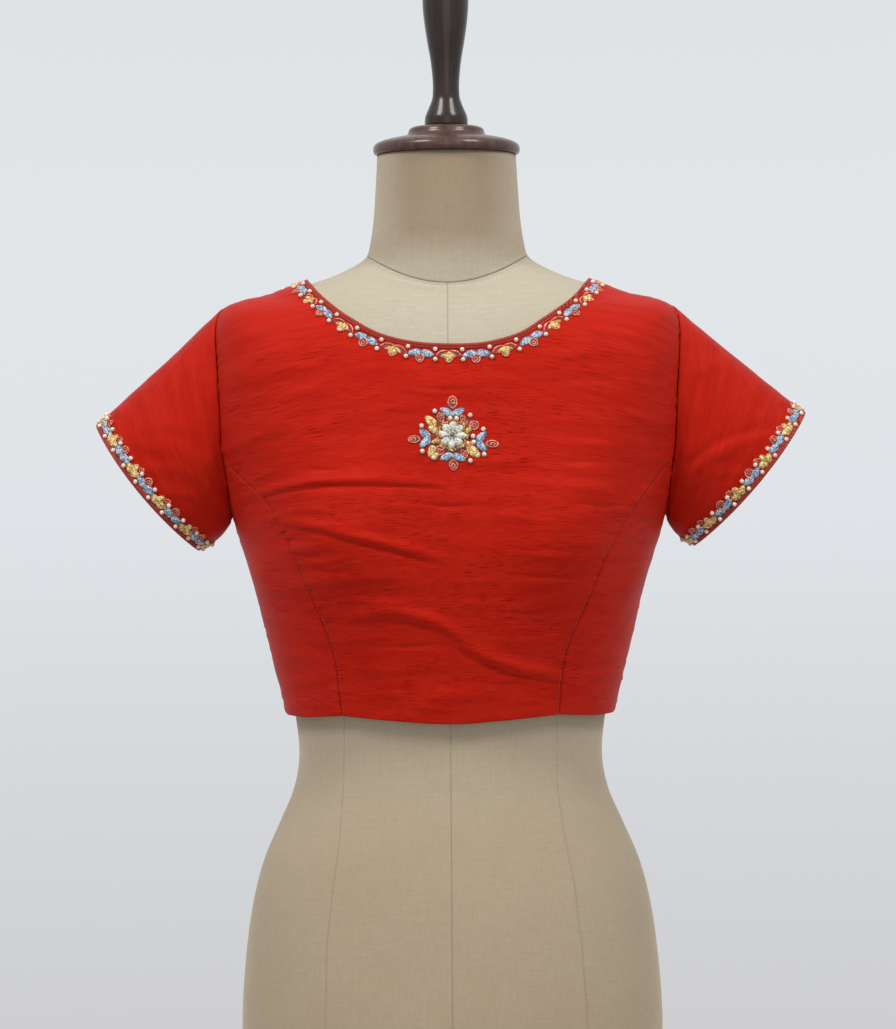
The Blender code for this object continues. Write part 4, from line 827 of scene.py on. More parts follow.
# Columns: start turn in degrees, start share along the sleeve; end turn, end share; width, height in mm.
SLEEVE_FOLDS = {
    "left": ((150, 0.05, 60, 0.75, 10, 2.4), (120, 0.0, 85, 0.8, 9, 1.8), (230, 0.1, 300, 0.7, 10, 2.2)),
    "right": ((137, 0.05, 64, 0.82, 8, 2.4), (115, 0.1, 80, 0.75, 8, 1.6), (225, 0.1, 305, 0.7, 10, 2.2)),
}
SLEEVE_CREASES = {
    "left": ((138, 0.10, 90, 0.55, 3.4, -1.1), (100, 0.15, 64, 0.60, 3.6, 0.8), (60, 0.10, 34, 0.52, 4.0, 0.7),
             (128, 0.40, 104, 0.80, 3.4, 0.8), (30, 0.20, 52, 0.70, 4.0, 0.6), (84, 0.62, 58, 0.86, 3.2, 0.6),
             (240, 0.16, 282, 0.58, 3.6, 0.9), (214, 0.30, 250, 0.80, 3.4, -0.9), (318, 0.14, 300, 0.50, 4.0, 0.7)),
    "right": ((126, 0.08, 56, 0.84, 3.6, -1.9), (136, 0.20, 96, 0.66, 3.4, 0.9), (70, 0.06, 36, 0.40, 4.0, 0.8),
              (112, 0.46, 92, 0.84, 3.2, 0.8), (26, 0.24, 46, 0.76, 4.0, 0.6), (60, 0.66, 40, 0.86, 3.0, 0.6),
              (236, 0.14, 280, 0.60, 3.6, 0.9), (210, 0.34, 246, 0.82, 3.4, -0.9), (322, 0.12, 304, 0.48, 4.0, 0.7)),
}
SLEEVE_CELLS = 46
SLEEVE_SWELL, TOP_FLATTER = 0.0018, 0.0023


def sleeve_fold_height(turn, along, folds):
    ridge, trough = np.zeros_like(turn), np.zeros_like(turn)
    steps = np.linspace(0, 1, 13)
    for angle1, along1, angle2, along2, width, height in folds:
        line_turn = np.radians(angle1 + (angle2 - angle1) * steps)
        line_along = along1 + (along2 - along1) * steps
        away, nearest = near_line(turn * 70, along * 100, line_turn * 70, line_along * 100)
        fade = 0.4 + 0.6 * np.sin(np.pi * np.clip(nearest, 0.03, 0.97))
        shape = height * MM * fade * np.exp(-(away / width) ** 2)
        ridge, trough = np.maximum(ridge, shape), np.minimum(trough, shape)
    return ridge + trough


def cuff_point(turn, name):
    top_x, top_z, bottom_x, bottom_z, half_depth, bow = (value * MM for value in CUFFS[name])
    top, bottom = np.array([top_x, top_z]), np.array([bottom_x, bottom_z])
    middle, half = (top + bottom) / 2, (top - bottom) / 2
    outward = unit(np.array([-half[1], half[0]])) * (1 if -half[1] * top_x > 0 else -1)
    across = middle + half * np.cos(turn)[..., None] + outward * bow * (np.sin(turn) ** 2)[..., None]
    return np.stack([across[..., 0], CUFF_MIDDLE_Y - half_depth * np.sin(turn), across[..., 1]], axis=-1)


def sleeve_surface(name, turns, along, out, fine=True):
    """Points of the sleeve, from the armhole to the cuff, and the way that its cloth faces."""
    side = SIDES[name]
    spots = armhole_spots(side, turns)
    start = cloth_point(spots[:, 0], spots[:, 1])
    start[:, 0] += side * (SEAM_GAP + CLOTH * np.abs(form_normal(spots[:, 0], spots[:, 1])[:, 0]))
    share = along[:, None, None]
    points = start[None] * (1 - share) + cuff_point(turns, name)[None] * share
    turn_grid, along_grid = np.meshgrid(turns, along)
    around = np.gradient(points, axis=1)
    around[:, [0, -1]] = (points[:, 1] - points[:, -2])[:, None]
    normal = unit(np.cross(around, np.gradient(points, along, axis=0)) * side)
    swell = (SLEEVE_SWELL - TOP_FLATTER * np.cos(turn_grid)) * np.sin(np.pi * along_grid)
    swell = swell + sleeve_fold_height(turn_grid, along_grid, SLEEVE_FOLDS[name])
    swell = swell * ease_step(0.0, 0.15, along_grid) * (1 - 0.7 * ease_step(0.8, 1.0, along_grid))
    if fine:
        swell = swell + sleeve_fold_height(turn_grid, along_grid, SLEEVE_CREASES[name])
    flat = normal * (0, 1, 1)
    flat /= (flat ** 2).sum(-1, keepdims=True)
    blend = (1 - ease_step(0.0, 0.12, along))[:, None, None]
    level = normal * (1 - blend) + flat * blend
    return points + normal * swell[..., None] + level * out, normal


for name, side in SIDES.items():
    turns = sleeve_turns(side)
    places, normal = sleeve_surface(name, turns, np.linspace(0, 1, SLEEVE_CELLS + 1), CLOTH)
    relief = uneven(places[:, :-1], 0.0008)
    relief = np.concatenate([relief, relief[:, :1]], axis=1)
    relief += seam_relief(places, places[0], 0.0009, 0.012, 2.5) * 0.8
    edge = places[-1].copy()
    places = places + normal * relief[..., None]
    places[-1] = edge + unit(places[-2] - edge) * EDGE_CUT
    turn_grid, along_grid = np.meshgrid(turns, np.linspace(0, 1, SLEEVE_CELLS + 1))
    weave = np.stack([turn_grid * 0.065, along_grid * 0.115], axis=-1)
    sleeve = finish_piece("silk_sleeve_" + name, lay_sheet(places, normal, weave, closed=True), sleeve_silk,
                          "silk", "sleeve_" + name)
    lining = sleeve.modifiers.new("Thickness", "SOLIDIFY")
    lining.thickness, lining.offset = 0.0012, -1.0

# %% [markdown]
# The neck and the cuffs are finished with a thin cord covered in a bias strip of the same silk. A cord is a
# curve with a round bevel, made a mesh. Its threads cross it at a slant, which a slanted wave in the bump gives.
# The same wave colours it in dark and light red stripes: the bias threads, with the light red partly a painted
# highlight. A thinner row of cord is laid beside it, on the silk.

# %% Silk cords
CORD_RADIUS, ROW_RADIUS = 0.0015, 0.0008
CORD_IN, NECK_ROW_IN, CUFF_ROW_IN = 0.0004, 0.0025, 0.0031   # how far in from the edge each one lies
ROW_LIFT = 0.0002


def cord_material():
    cord, shader = new_material("bias_covered_cord")
    where = node(cord, "ShaderNodeTexCoord").outputs["Object"]
    slant = node(cord, "ShaderNodeMapping", Vector=where, Rotation=(0.0, math.radians(40), math.radians(35)))
    wave = node(cord, "ShaderNodeTexWave", {"bands_direction": "X"}, Vector=slant.outputs[0], Scale=260.0,
                Distortion=2.0, Detail=1.0)
    # Stripes of the bias threads; the light red is partly a painted highlight.
    colour = stops(node(cord, "ShaderNodeValToRGB", Fac=wave.outputs["Fac"]), (0.2, "#74150C"), (0.8, "#C8452F"))
    relief = node(cord, "ShaderNodeBump", Strength=0.4, Distance=0.0004, Height=wave.outputs["Fac"])
    fill(cord, shader, Base_Color=colour, Normal=relief.outputs[0], Roughness=0.5, Sheen_Weight=0.05,
         Sheen_Tint=linear("#FF7A60"), Specular_IOR_Level=0.3)
    return cord


def lay_cord(name, runs, cyclic, material, slot, *nodes):
    """One piece from several runs of cord, each with its points and radius."""
    made = bmesh.new()
    for points, radius in runs:
        curve = bpy.data.curves.new(name + "_line", "CURVE")
        curve.dimensions, curve.bevel_depth, curve.bevel_resolution = "3D", radius, 2
        curve.use_fill_caps = not cyclic
        spline = curve.splines.new("POLY")
        spline.points.add(len(points) - 1)
        spline.points.foreach_set("co", np.hstack([points, np.ones((len(points), 1))]).ravel())
        spline.use_cyclic_u = cyclic
        line = bpy.data.objects.new(name + "_line", curve)
        made.from_mesh(line.to_mesh())
        line.to_mesh_clear()
        bpy.data.objects.remove(line)
    return finish_piece(name, made, material, slot, *nodes)


cord = cord_material()
neck_runs = []
for reach, radius, out in ((CORD_IN, CORD_RADIUS, CORD_RADIUS), (NECK_ROW_IN, ROW_RADIUS, CLOTH + ROW_LIFT)):
    parts = []
    for spots, turned_round in ((back_neckline(-1), 1), (front_neckline(), -1), (back_neckline(1), -1)):
        run = walk(spots, np.full(81, reach), turned_round)
        if turned_round == -1 and spots[0, 0] < 0:
            run = pinned(run, neck_point(-1, reach), neck_point(1, reach))
        else:
            run = pinned(run, neck_point(1 if spots[0, 0] > 0 else -1, reach), run[-1])
        parts.append(cloth_point(run[:, 0], run[:, 1], out, folded=out > CORD_RADIUS))
    parts[0] = parts[0][::-1]
    parts[2][:, 1] += overlap_lift(parts[2][:, 0], 1)
    neck_runs.append((join_lines(*parts), radius))
lay_cord("cord_neck", neck_runs, False, cord, "cord", "neck_piping")
for name, side in SIDES.items():
    turns = np.linspace(0, 2 * math.pi, 121)
    surface, normal = sleeve_surface(name, turns, np.array([0.96, 1.0]), CLOTH / 2, fine=False)
    inward = unit(surface[0] - surface[1])
    runs = [((surface[1] + inward * CORD_RADIUS)[:-1], CORD_RADIUS)]
    runs.append(((surface[1] + inward * CUFF_ROW_IN + normal[1] * (CLOTH / 2 + ROW_LIFT))[:-1], ROW_RADIUS))
    lay_cord("cord_cuff_" + name, runs, True, cord, "cord", "cuff_piping_" + name)
    once_round = np.vstack([runs[0][0], runs[0][0][:1]])
    print("cuff cord", name, round(float(line_lengths(once_round)[-1]), 3), "m")
print("neck cord:", round(float(line_lengths(neck_runs[0][0])[-1]), 3), "m")

# %% [markdown]
# The form's cover is natural linen, cut in panels and drawn tight over the shell. Where two panels meet there
# is a fine sunken line, faint down the panels and darker where the neck is sewn on. The torso is made as one
# skin whose columns follow the seams, so that the seam columns and the neck's ring can be pressed in. The
# depth is also kept as an attribute, which darkens the linen there as painted shade in the groove. The colour
# also carries painted light and shade by height, lightest over the upward-facing chest and darker on the neck
# under the cap and towards the bottom, and the sides of the neck are painted lighter than its middle.

# %% Linen torso
# The cover's seams, in millimetres: across from the centre, and up from the floor.
COVER_SEAMS = {"left": ((-104, 0), (-99, 115), (-97.6, 165), (-93, 204), (-88, 239), (-84.5, 281), (-83, 340),
                        (-88, 391), (-104, 434), (-122, 476), (-136, 540), (-120, 665)),
               "right": ((106, 0), (105, 113), (101, 165), (96, 209), (88.7, 246), (83.7, 281), (83.3, 340),
                         (88, 391), (104, 434), (122, 476), (136, 540), (120, 665))}
NECK_SEAM_RING = 25
GROOVE = 0.00055
SEAM_SHOWS = (0.38, 0.22, 0.22, 0.22, 0.38, 0.22, 0.22, 0.22)   # share of the groove, seam by seam from the back
STRIP = (0.0, 0.010, 0.024, 0.08, 0.16, 0.25, 0.34, 0.43, 0.5, 0.57, 0.66, 0.75, 0.84, 0.92, 0.976, 0.990)


def cover_seam_angle(name, ring):
    """The angle at which a front seam of the cover crosses a ring."""
    angles = np.linspace(-math.pi / 2, math.pi / 2, 361)
    line = form_point(angles, np.full(361, ring))
    table = np.array(COVER_SEAMS[name]) * MM
    height = float(np.interp(0.0, line[:, 0], line[:, 2]))
    return float(np.interp(np.interp(height, table[:, 1], table[:, 0]), line[:, 0], angles))


def torso_grid():
    rings = np.unique(np.concatenate([np.linspace(0, 29, 29 * 8 + 1), NECK_SEAM_RING + np.array([-0.05, 0.04])]))
    rows, pressed = [], []
    for ring in rings:
        left, right = (cover_seam_angle(name, ring) for name in ("left", "right"))
        seams = [-math.pi, -math.pi - left, -math.pi / 2, left, 0.0, right, math.pi / 2, math.pi - right, math.pi]
        angles = [start + (end - start) * share for start, end in zip(seams[:-1], seams[1:]) for share in STRIP]
        rows.append(angles + [math.pi])
        neck = 1.0 if abs(ring - NECK_SEAM_RING) < 1e-6 else 0.0
        columns = [shows if share == 0 and ring < NECK_SEAM_RING + 0.01 else 0.0
                   for shows in SEAM_SHOWS for share in STRIP]
        pressed.append([max(neck, column) for column in columns + [columns[0]]])
    return np.array(rows), np.repeat(rings[:, None], len(rows[0]), axis=1), np.array(pressed)


def linen_material():
    linen, shader = new_material("natural_linen")
    where = node(linen, "ShaderNodeTexCoord").outputs["Object"]
    weft = node(linen, "ShaderNodeTexNoise", Vector=node(
        linen, "ShaderNodeMapping", Vector=where, Scale=(90, 90, 900)).outputs[0], Scale=1.0, Detail=2.0)
    warp = node(linen, "ShaderNodeTexNoise", Vector=node(
        linen, "ShaderNodeMapping", Vector=where, Scale=(900, 900, 60)).outputs[0], Scale=1.0, Detail=2.0)
    cloud = node(linen, "ShaderNodeTexNoise", Vector=where, Scale=9.0, Detail=4.0, Roughness=0.6)
    threads = node(linen, "ShaderNodeMath", {"operation": "ADD"}, i0=weft.outputs["Fac"], i1=warp.outputs["Fac"])
    height = node(linen, "ShaderNodeSeparateXYZ", Vector=where).outputs["Z"]
    rise = node(linen, "ShaderNodeMapRange", Value=height, From_Min=0.0, From_Max=0.79).outputs[0]
    # Painted light and shade by height: lightest over the chest, which faces up to the softboxes, darker on the neck
    # under the cap and towards the bottom.
    tone = stops(node(linen, "ShaderNodeValToRGB", Fac=rise), (0.0, "#AE9C83"), (0.30, "#C0AF96"), (0.45, "#C0B19A"),
                 (0.80, "#CCC5B3"), (0.88, "#C8C0AC"), (0.915, "#AE9C84"), (1.0, "#A8947C"))
    aged = node(linen, "ShaderNodeMapRange", Value=cloud.outputs["Fac"], From_Min=0.35, From_Max=0.75, To_Max=0.22)
    worn_and_lit = node(linen, "ShaderNodeMix", {"data_type": "RGBA"}, i0=aged.outputs[0], i6=tone, i7=linear("#9C8A6C"))
    # Painted light: the sides of the neck are lighter than its middle.
    aside = node(linen, "ShaderNodeMath", {"operation": "ABSOLUTE"}, i0=node(
        linen, "ShaderNodeSeparateXYZ", Vector=where).outputs["X"]).outputs[0]
    edge = node(linen, "ShaderNodeMapRange", {"interpolation_type": "SMOOTHSTEP"}, Value=aside, From_Min=0.025,
                From_Max=0.060, To_Max=0.75).outputs[0]
    neck = node(linen, "ShaderNodeMapRange", Value=height, From_Min=0.700, From_Max=0.725).outputs[0]
    worn_and_lit = node(linen, "ShaderNodeMix", {"data_type": "RGBA"}, i0=node(
        linen, "ShaderNodeMath", {"operation": "MULTIPLY"}, i0=edge, i1=neck).outputs[0], i6=worn_and_lit.outputs[2],
        i7=linear("#D2C6B2"))
    fleck = node(linen, "ShaderNodeMapRange", Value=threads.outputs[0], From_Min=0.7, From_Max=1.3, To_Min=0.0,
                 To_Max=0.22)
    colour = node(linen, "ShaderNodeMix", {"data_type": "RGBA"}, i0=fleck.outputs[0], i6=worn_and_lit.outputs[2],
                  i7=linear("#8F7F66"))
    relief = node(linen, "ShaderNodeBump", Strength=0.35, Distance=0.0004, Height=threads.outputs[0])
    # Painted shade: the sunken seam lines are darkened by their depth.
    sunk = node(linen, "ShaderNodeAttribute", {"attribute_name": "groove"}).outputs["Fac"]
    colour = node(linen, "ShaderNodeMix", {"data_type": "RGBA"}, i0=sunk, i6=colour.outputs[2],
                  i7=linear("#5E4A3A"))
    fill(linen, shader, Base_Color=colour.outputs[2], Normal=relief.outputs[0], Roughness=0.88, Sheen_Weight=0.6,
         Sheen_Roughness=0.45, Sheen_Tint=linear("#FFF4E0"), Specular_IOR_Level=0.2)
    return linen


linen = linen_material()
angle, ring, pressed = torso_grid()
normal = form_normal(angle, ring)
places = form_point(angle, ring) - normal * (GROOVE * pressed)[..., None]
weave = np.stack([angle * 0.13, places[..., 2]], axis=-1)
skin = lay_sheet(places, normal, weave, closed=True)
bmesh.ops.holes_fill(skin, edges=skin.edges, sides=0)
groove = skin.verts.layers.float.new("groove")
spread = {tuple(np.round(place, 6)): depth for place, depth in zip(places.reshape(-1, 3), pressed.ravel())}
for corner in skin.verts:
    corner[groove] = spread.get(tuple(np.round(corner.co, 6)), 0.0)
torso = finish_piece("linen_torso", skin, linen, "linen", "form_torso")
print("torso faces:", len(torso.data.polygons))

# %% [markdown]
# The neck cap and the finial are turned in a lathe from one piece of wood each, then stained dark and finished
# with gloss lacquer. A lathe is a spin: half the profile goes round the axis. Lacquer is a coat over the
# stained wood, so the shader has a sharp coat above a duller base, with faint grain along the turning.

# %% Turned wood
CAP_PROFILE = ((53, 0.0), (57.0, 0.6), (58.6, 3.2), (58.4, 6.4), (56.4, 9.0), (51, 11.4), (42, 13.6),
               (33, 15.4), (30.8, 17.4), (29.6, 20.6), (26.5, 22.4), (22, 22.8))
FINIAL_PROFILE = ((16.4, 0.0), (17.1, 1.0), (17.2, 3.4), (16.7, 8.0), (13.6, 15.5), (11.2, 22.0),
                  (10.6, 28.0), (10.7, 37.0), (12.2, 52.0), (14.6, 66.0), (17.0, 82.0), (18.4, 98.0),
                  (17.8, 110.0), (15.2, 119.5), (10.5, 126.5), (5.0, 130.0))
TURNING_STEPS = 96


def turned(name, profile, height, material, *nodes):
    line = smooth_columns(np.array(profile, float), np.linspace(0, len(profile) - 1, 4 * len(profile))) * MM
    wood = bmesh.new()
    corners = [wood.verts.new((max(radius, 0.0), 0.0, rise + height)) for radius, rise in line]
    corners = [wood.verts.new((0.0, 0.0, line[0, 1] + height))] + corners
    corners.append(wood.verts.new((0.0, 0.0, line[-1, 1] + height)))
    edges = [wood.edges.new(pair) for pair in zip(corners[:-1], corners[1:])]
    bmesh.ops.spin(wood, geom=corners + edges, cent=(0, 0, 0), axis=(0, 0, 1), angle=2 * math.pi,
                   steps=TURNING_STEPS, use_merge=True)
    bmesh.ops.remove_doubles(wood, verts=wood.verts, dist=1e-6)
    bmesh.ops.recalc_face_normals(wood, faces=wood.faces)
    return finish_piece(name, wood, material, "lacquered_wood", *nodes)


def lacquer_material(name, dark, light):
    wood, shader = new_material(name)
    where = node(wood, "ShaderNodeTexCoord").outputs["Object"]
    grain = node(wood, "ShaderNodeTexNoise", Vector=node(
        wood, "ShaderNodeMapping", Vector=where, Scale=(260, 260, 26)).outputs[0], Scale=1.0, Detail=3.0)
    colour = stops(node(wood, "ShaderNodeValToRGB", Fac=grain.outputs["Fac"]), (0.3, dark), (0.7, light))
    fill(wood, shader, Base_Color=colour, Roughness=0.35, Coat_Weight=0.35, Coat_Roughness=0.06, IOR=1.45,
         Specular_IOR_Level=0.3)
    return wood


cap_wood = lacquer_material("brown_lacquered_wood", "#3E2620", "#62443A")
finial_wood = lacquer_material("dark_lacquered_wood", "#1E0E0C", "#33201B")
neck_top = float(RINGS[-1][0]) * MM + SEAM_GAP
cap = turned("wood_neck_cap", CAP_PROFILE, neck_top, cap_wood, "form_neck_cap")
finial = turned("wood_finial", FINIAL_PROFILE, neck_top + CAP_PROFILE[-1][1] * MM + SEAM_GAP, finial_wood,
                "form_finial")
print("wood faces:", len(cap.data.polygons), len(finial.data.polygons))

# %% [markdown]
# The embroidery is made from a few small shapes, each drawn once and stamped many times: a leaf packed with
# coiled metal thread, an open loop of it with a swirl inside, a bent stem, a pearl and a bead. Each is a stock shape of
# a few dozen faces, made near one unit in size with its tip along Y, and the stamp gives it its real size.

# %% Stock shapes
def leaf_shape():
    leaf = bmesh.new()
    bmesh.ops.create_uvsphere(leaf, u_segments=12, v_segments=8, radius=1.0)
    bmesh.ops.rotate(leaf, verts=leaf.verts, cent=(0, 0, 0), matrix=Matrix.Rotation(math.radians(90), 3, "X"))
    for corner in leaf.verts:
        corner.co.x *= 1 - 0.22 * corner.co.y
        corner.co.z *= 0.3 if corner.co.z < 0 else 1
    return stock(leaf)


def ring_shape(steps, reach, thick):
    ring = bmesh.new()
    made = bmesh.ops.create_circle(ring, segments=5, radius=thick)
    bmesh.ops.rotate(ring, verts=made["verts"], cent=(0, 0, 0), matrix=Matrix.Rotation(math.radians(90), 3, "X"))
    bmesh.ops.translate(ring, verts=made["verts"], vec=(reach, 0, 0))
    bmesh.ops.spin(ring, geom=ring.verts[:] + ring.edges[:], cent=(0, 0, 0), axis=(0, 0, 1), angle=2 * math.pi,
                   steps=steps, use_merge=True)
    bmesh.ops.recalc_face_normals(ring, faces=ring.faces)
    return ring


def loop_shape():
    """A drop-shaped outline with a smaller swirl inside it."""
    loop = ring_shape(14, 0.86, 0.15)
    for corner in loop.verts:
        corner.co.x *= 1 - 0.30 * max(-corner.co.y, 0) ** 1.5
    swirl = bpy.data.meshes.new("swirl")
    inner = ring_shape(8, 0.36, 0.13)
    bmesh.ops.translate(inner, verts=inner.verts, vec=(0.05, 0.12, 0))
    inner.to_mesh(swirl)
    inner.free()
    loop.from_mesh(swirl)
    return stock(loop)


def arc_shape():
    """A thin stem, bent like a bow."""
    arc = bmesh.new()
    bmesh.ops.create_uvsphere(arc, u_segments=6, v_segments=12, radius=1.0)
    bmesh.ops.rotate(arc, verts=arc.verts, cent=(0, 0, 0), matrix=Matrix.Rotation(math.radians(90), 3, "X"))
    for corner in arc.verts:
        corner.co.x = corner.co.x * 0.15 + 0.42 * (1 - corner.co.y ** 2)
    return stock(arc)


def ball_shape(segments, rings):
    ball = bmesh.new()
    bmesh.ops.create_uvsphere(ball, u_segments=segments, v_segments=rings, radius=1.0)
    return stock(ball)


def stock(shape):
    """Keeps a stock shape as a mesh, with its own flat places as the UV map named weave."""
    threads = shape.loops.layers.uv.new("weave")
    for face in shape.faces:
        for loop in face.loops:
            loop[threads].uv = loop.vert.co.xy
    mesh = bpy.data.meshes.new("stock")
    shape.to_mesh(mesh)
    shape.free()
    return mesh


LEAF, LOOP, ARC, PEARL, BEAD = leaf_shape(), loop_shape(), arc_shape(), ball_shape(10, 6), ball_shape(7, 5)
print({"leaf": len(LEAF.polygons), "loop": len(LOOP.polygons), "pearl": len(PEARL.polygons)})

# %% [markdown]
# The thread is fine metal wire wound into a soft coil, cut to length and couched down. Its glitter is painted
# into its colour: a cell pattern of about one millimetre gives painted glints and dark specks, and a wave across
# the shape gives the coils, with painted shade between the turns. The cut stones are drawn with the same
# function, so their sparkle is painted as well. The pearls are glass with a cream coat.

# %% Thread, pearl and stone materials
def thread_material(name, dark, plain, light, metal):
    thread, shader = new_material(name)
    where = node(thread, "ShaderNodeTexCoord").outputs["Object"]
    # Painted glints: the cells lift some specks towards the light colour and sink others towards the dark one; the coil
    # wave adds painted shade between turns.
    cells = node(thread, "ShaderNodeTexVoronoi", Vector=where, Scale=950.0)
    glint = node(thread, "ShaderNodeSeparateColor", Color=cells.outputs["Color"]).outputs[0]
    own = node(thread, "ShaderNodeUVMap", {"uv_map": "weave"}).outputs["UV"]
    coil = node(thread, "ShaderNodeTexWave", {"bands_direction": "Y"}, Vector=own, Scale=2.2, Distortion=1.5,
                Detail_Scale=2.0)
    mixed = node(thread, "ShaderNodeMath", {"operation": "MULTIPLY_ADD"}, i0=coil.outputs["Fac"], i1=0.35,
                 i2=glint)
    colour = stops(node(thread, "ShaderNodeValToRGB", Fac=mixed.outputs[0]), (0.15, dark), (0.70, plain),
                   (1.10, light))
    relief = node(thread, "ShaderNodeBump", Strength=0.7, Distance=0.0004, Height=mixed.outputs[0])
    fill(thread, shader, Base_Color=colour, Normal=relief.outputs[0], Roughness=0.42, Metallic=metal)
    return thread


def glass_material(name, colour, roughness, coat):
    glass, shader = new_material(name)
    where = node(glass, "ShaderNodeTexCoord").outputs["Object"]
    cloud = node(glass, "ShaderNodeTexNoise", Vector=where, Scale=160.0, Detail=2.0)
    shade = stops(node(glass, "ShaderNodeValToRGB", Fac=cloud.outputs["Fac"]), (0.3, colour[0]), (0.7, colour[1]))
    fill(glass, shader, Base_Color=shade, Roughness=roughness, Coat_Weight=coat, Coat_Roughness=0.05, IOR=1.5)
    return glass


THREADS = {
    # The maroon patches under the shapes are partly couching thread and partly painted shade around the raised work.
    "couching_and_shade": thread_material("maroon_couching_and_painted_shade", "#5E0F0A", "#7E1810", "#A02A1C", 0.0),
    "blue": thread_material("blue_coiled_wire", "#40597A", "#7B9ABD", "#D9E4EE", 0.05),
    "gold": thread_material("gold_coiled_wire", "#96641E", "#D9AC4C", "#FFF0B8", 0.15),
    "coral": thread_material("coral_coiled_wire", "#C84A34", "#EE7A5C", "#FFC0A4", 0.0),
    "pearl": glass_material("cream_glass_pearl", ("#FFD2BC", "#FFEADC"), 0.25, 0.6),
    "stone": thread_material("clear_cut_stone", "#9C9F8C", "#F2F1E6", "#FFFFFF", 0.0),
    "stitch": thread_material("red_sewing_thread", "#86180F", "#A92A1C", "#BE4030", 0.0),
    "smoke": glass_material("smoky_cut_stone", ("#3C4136", "#6E7362"), 0.10, 0.8),
}
print("thread materials:", list(THREADS))

# %% [markdown]
# A border is sewn along an edge, so a place on it has two numbers: how far along the edge it is, and how far in
# from the edge. The band below is a grid of places on the cloth with those two numbers, and a stamp reads its
# place, its facing and the direction along the edge from it.

# %% Bands and stamps
class Band:
    """A strip of cloth beside an edge: rows at known distances in from it, columns along it."""

    def __init__(self, points, reaches, facing):
        self.points, self.reaches = points, np.asarray(reaches)
        self.arcs = line_lengths(points[0])
        middle = self.frame(self.arcs[-1] / 2, self.reaches[1], 1)
        self.turned = 1 if middle[3].dot(Vector(facing)) > 0 else -1

    def at(self, along, reach):
        column = float(np.interp(along, self.arcs, np.arange(len(self.arcs))))
        row = float(np.interp(reach, self.reaches, np.arange(len(self.reaches))))
        i, j = min(int(row), len(self.reaches) - 2), min(int(column), len(self.arcs) - 2)
        a, b = row - i, column - j
        grid = self.points
        return Vector((1 - a) * ((1 - b) * grid[i, j] + b * grid[i, j + 1])
                      + a * ((1 - b) * grid[i + 1, j] + b * grid[i + 1, j + 1]))

    def frame(self, along, reach, turned=None):
        here = self.at(along, reach)
        forward = (self.at(along + 0.001, reach) - self.at(along - 0.001, reach)).normalized()
        inward = (self.at(along, reach + 0.001) - self.at(along, reach - 0.001))
        inward = (inward - forward * inward.dot(forward)).normalized()
        facing = forward.cross(inward) * (turned or self.turned)
        return here, forward, inward, facing


def stamp(work, shape, frame, turn, wide, long, high, lift=0.0):
    """Adds a stock shape, its tip turned by so many degrees from straight in towards along."""
    here, forward, inward, facing = frame
    angle = math.radians(turn)
    tip = inward * math.cos(angle) + forward * math.sin(angle)
    across = tip.cross(facing)
    rows = Matrix((across * wide, tip * long, facing * high)).transposed().to_4x4()
    place = Matrix.Translation(here + facing * lift) @ rows
    count = len(work.verts)
    work.from_mesh(shape)
    work.verts.ensure_lookup_table()
    bmesh.ops.transform(work, matrix=place, verts=work.verts[count:])
    return work


def shifted(band, along, reach, turn, distance):
    """The frame a little way off in the direction of turn, for a shape whose root is at the given place."""
    angle = math.radians(turn)
    return band.frame(along + math.sin(angle) * distance, reach + math.cos(angle) * distance)


# In the borders every shape and pearl gets a larger, flat maroon patch under it: partly couching, partly painted shade
# around the raised work.
def blue_unit(works, band, along, spread=1.0):
    for turn in (-78, 78):
        frame = shifted(band, along, 0.0080, turn, 0.0048 * spread)
        stamp(works["blue"], LEAF, frame, turn, 0.0032, 0.0053 * spread, 0.0015)
        stamp(works["couching_and_shade"], LEAF, frame, turn, 0.0039, 0.0060 * spread, 0.0005)
    frame = band.frame(along - 0.0006, 0.0128)
    stamp(works["coral"], LOOP, frame, 12, 0.0037, 0.0040, 0.0034, 0.0005)
    stamp(works["couching_and_shade"], LEAF, frame, 12, 0.0042, 0.0047, 0.0005)


def gold_unit(works, band, along, spread=1.0):
    for side in (-1, 1):
        bow = 90 - 22 * side if band.turned > 0 else -90 - 22 * side
        frame = shifted(band, along, 0.0066, 68 * side, 0.0054 * spread)
        stamp(works["coral"], ARC, frame, bow, 0.0050, 0.0056 * spread, 0.0010, 0.0006)
        stamp(works["couching_and_shade"], LEAF, frame, 68 * side, 0.0030, 0.0056 * spread, 0.0005)
        frame = shifted(band, along, 0.0078, 60 * side, 0.0036 * spread)
        stamp(works["gold"], LEAF, frame, 60 * side, 0.0017, 0.0034, 0.0012, 0.0002)
        stamp(works["coral"], ARC, frame, bow, 0.0024, 0.0036, 0.0009, 0.0005)
    frame = band.frame(along, 0.0112)
    stamp(works["gold"], LEAF, frame, 0, 0.0029, 0.0042, 0.0018)
    stamp(works["coral"], LOOP, frame, 0, 0.0037, 0.0048, 0.0034, 0.0004)
    stamp(works["couching_and_shade"], LEAF, frame, 0, 0.0043, 0.0054, 0.0005)


def trefoil_unit(works, band, along, spread=1.0):
    for turn, reach in ((-70, 0.0036), (0, 0.0040), (70, 0.0036)):
        frame = shifted(band, along, 0.0070, turn, reach * spread)
        stamp(works["gold"], LEAF, frame, turn, 0.0031, 0.0041, 0.0018)
        stamp(works["couching_and_shade"], LEAF, frame, turn, 0.0038, 0.0048, 0.0005)
    stamp(works["coral"], LOOP, band.frame(along + 0.0046, 0.0136), 30, 0.0026, 0.0036, 0.0030, 0.0004)


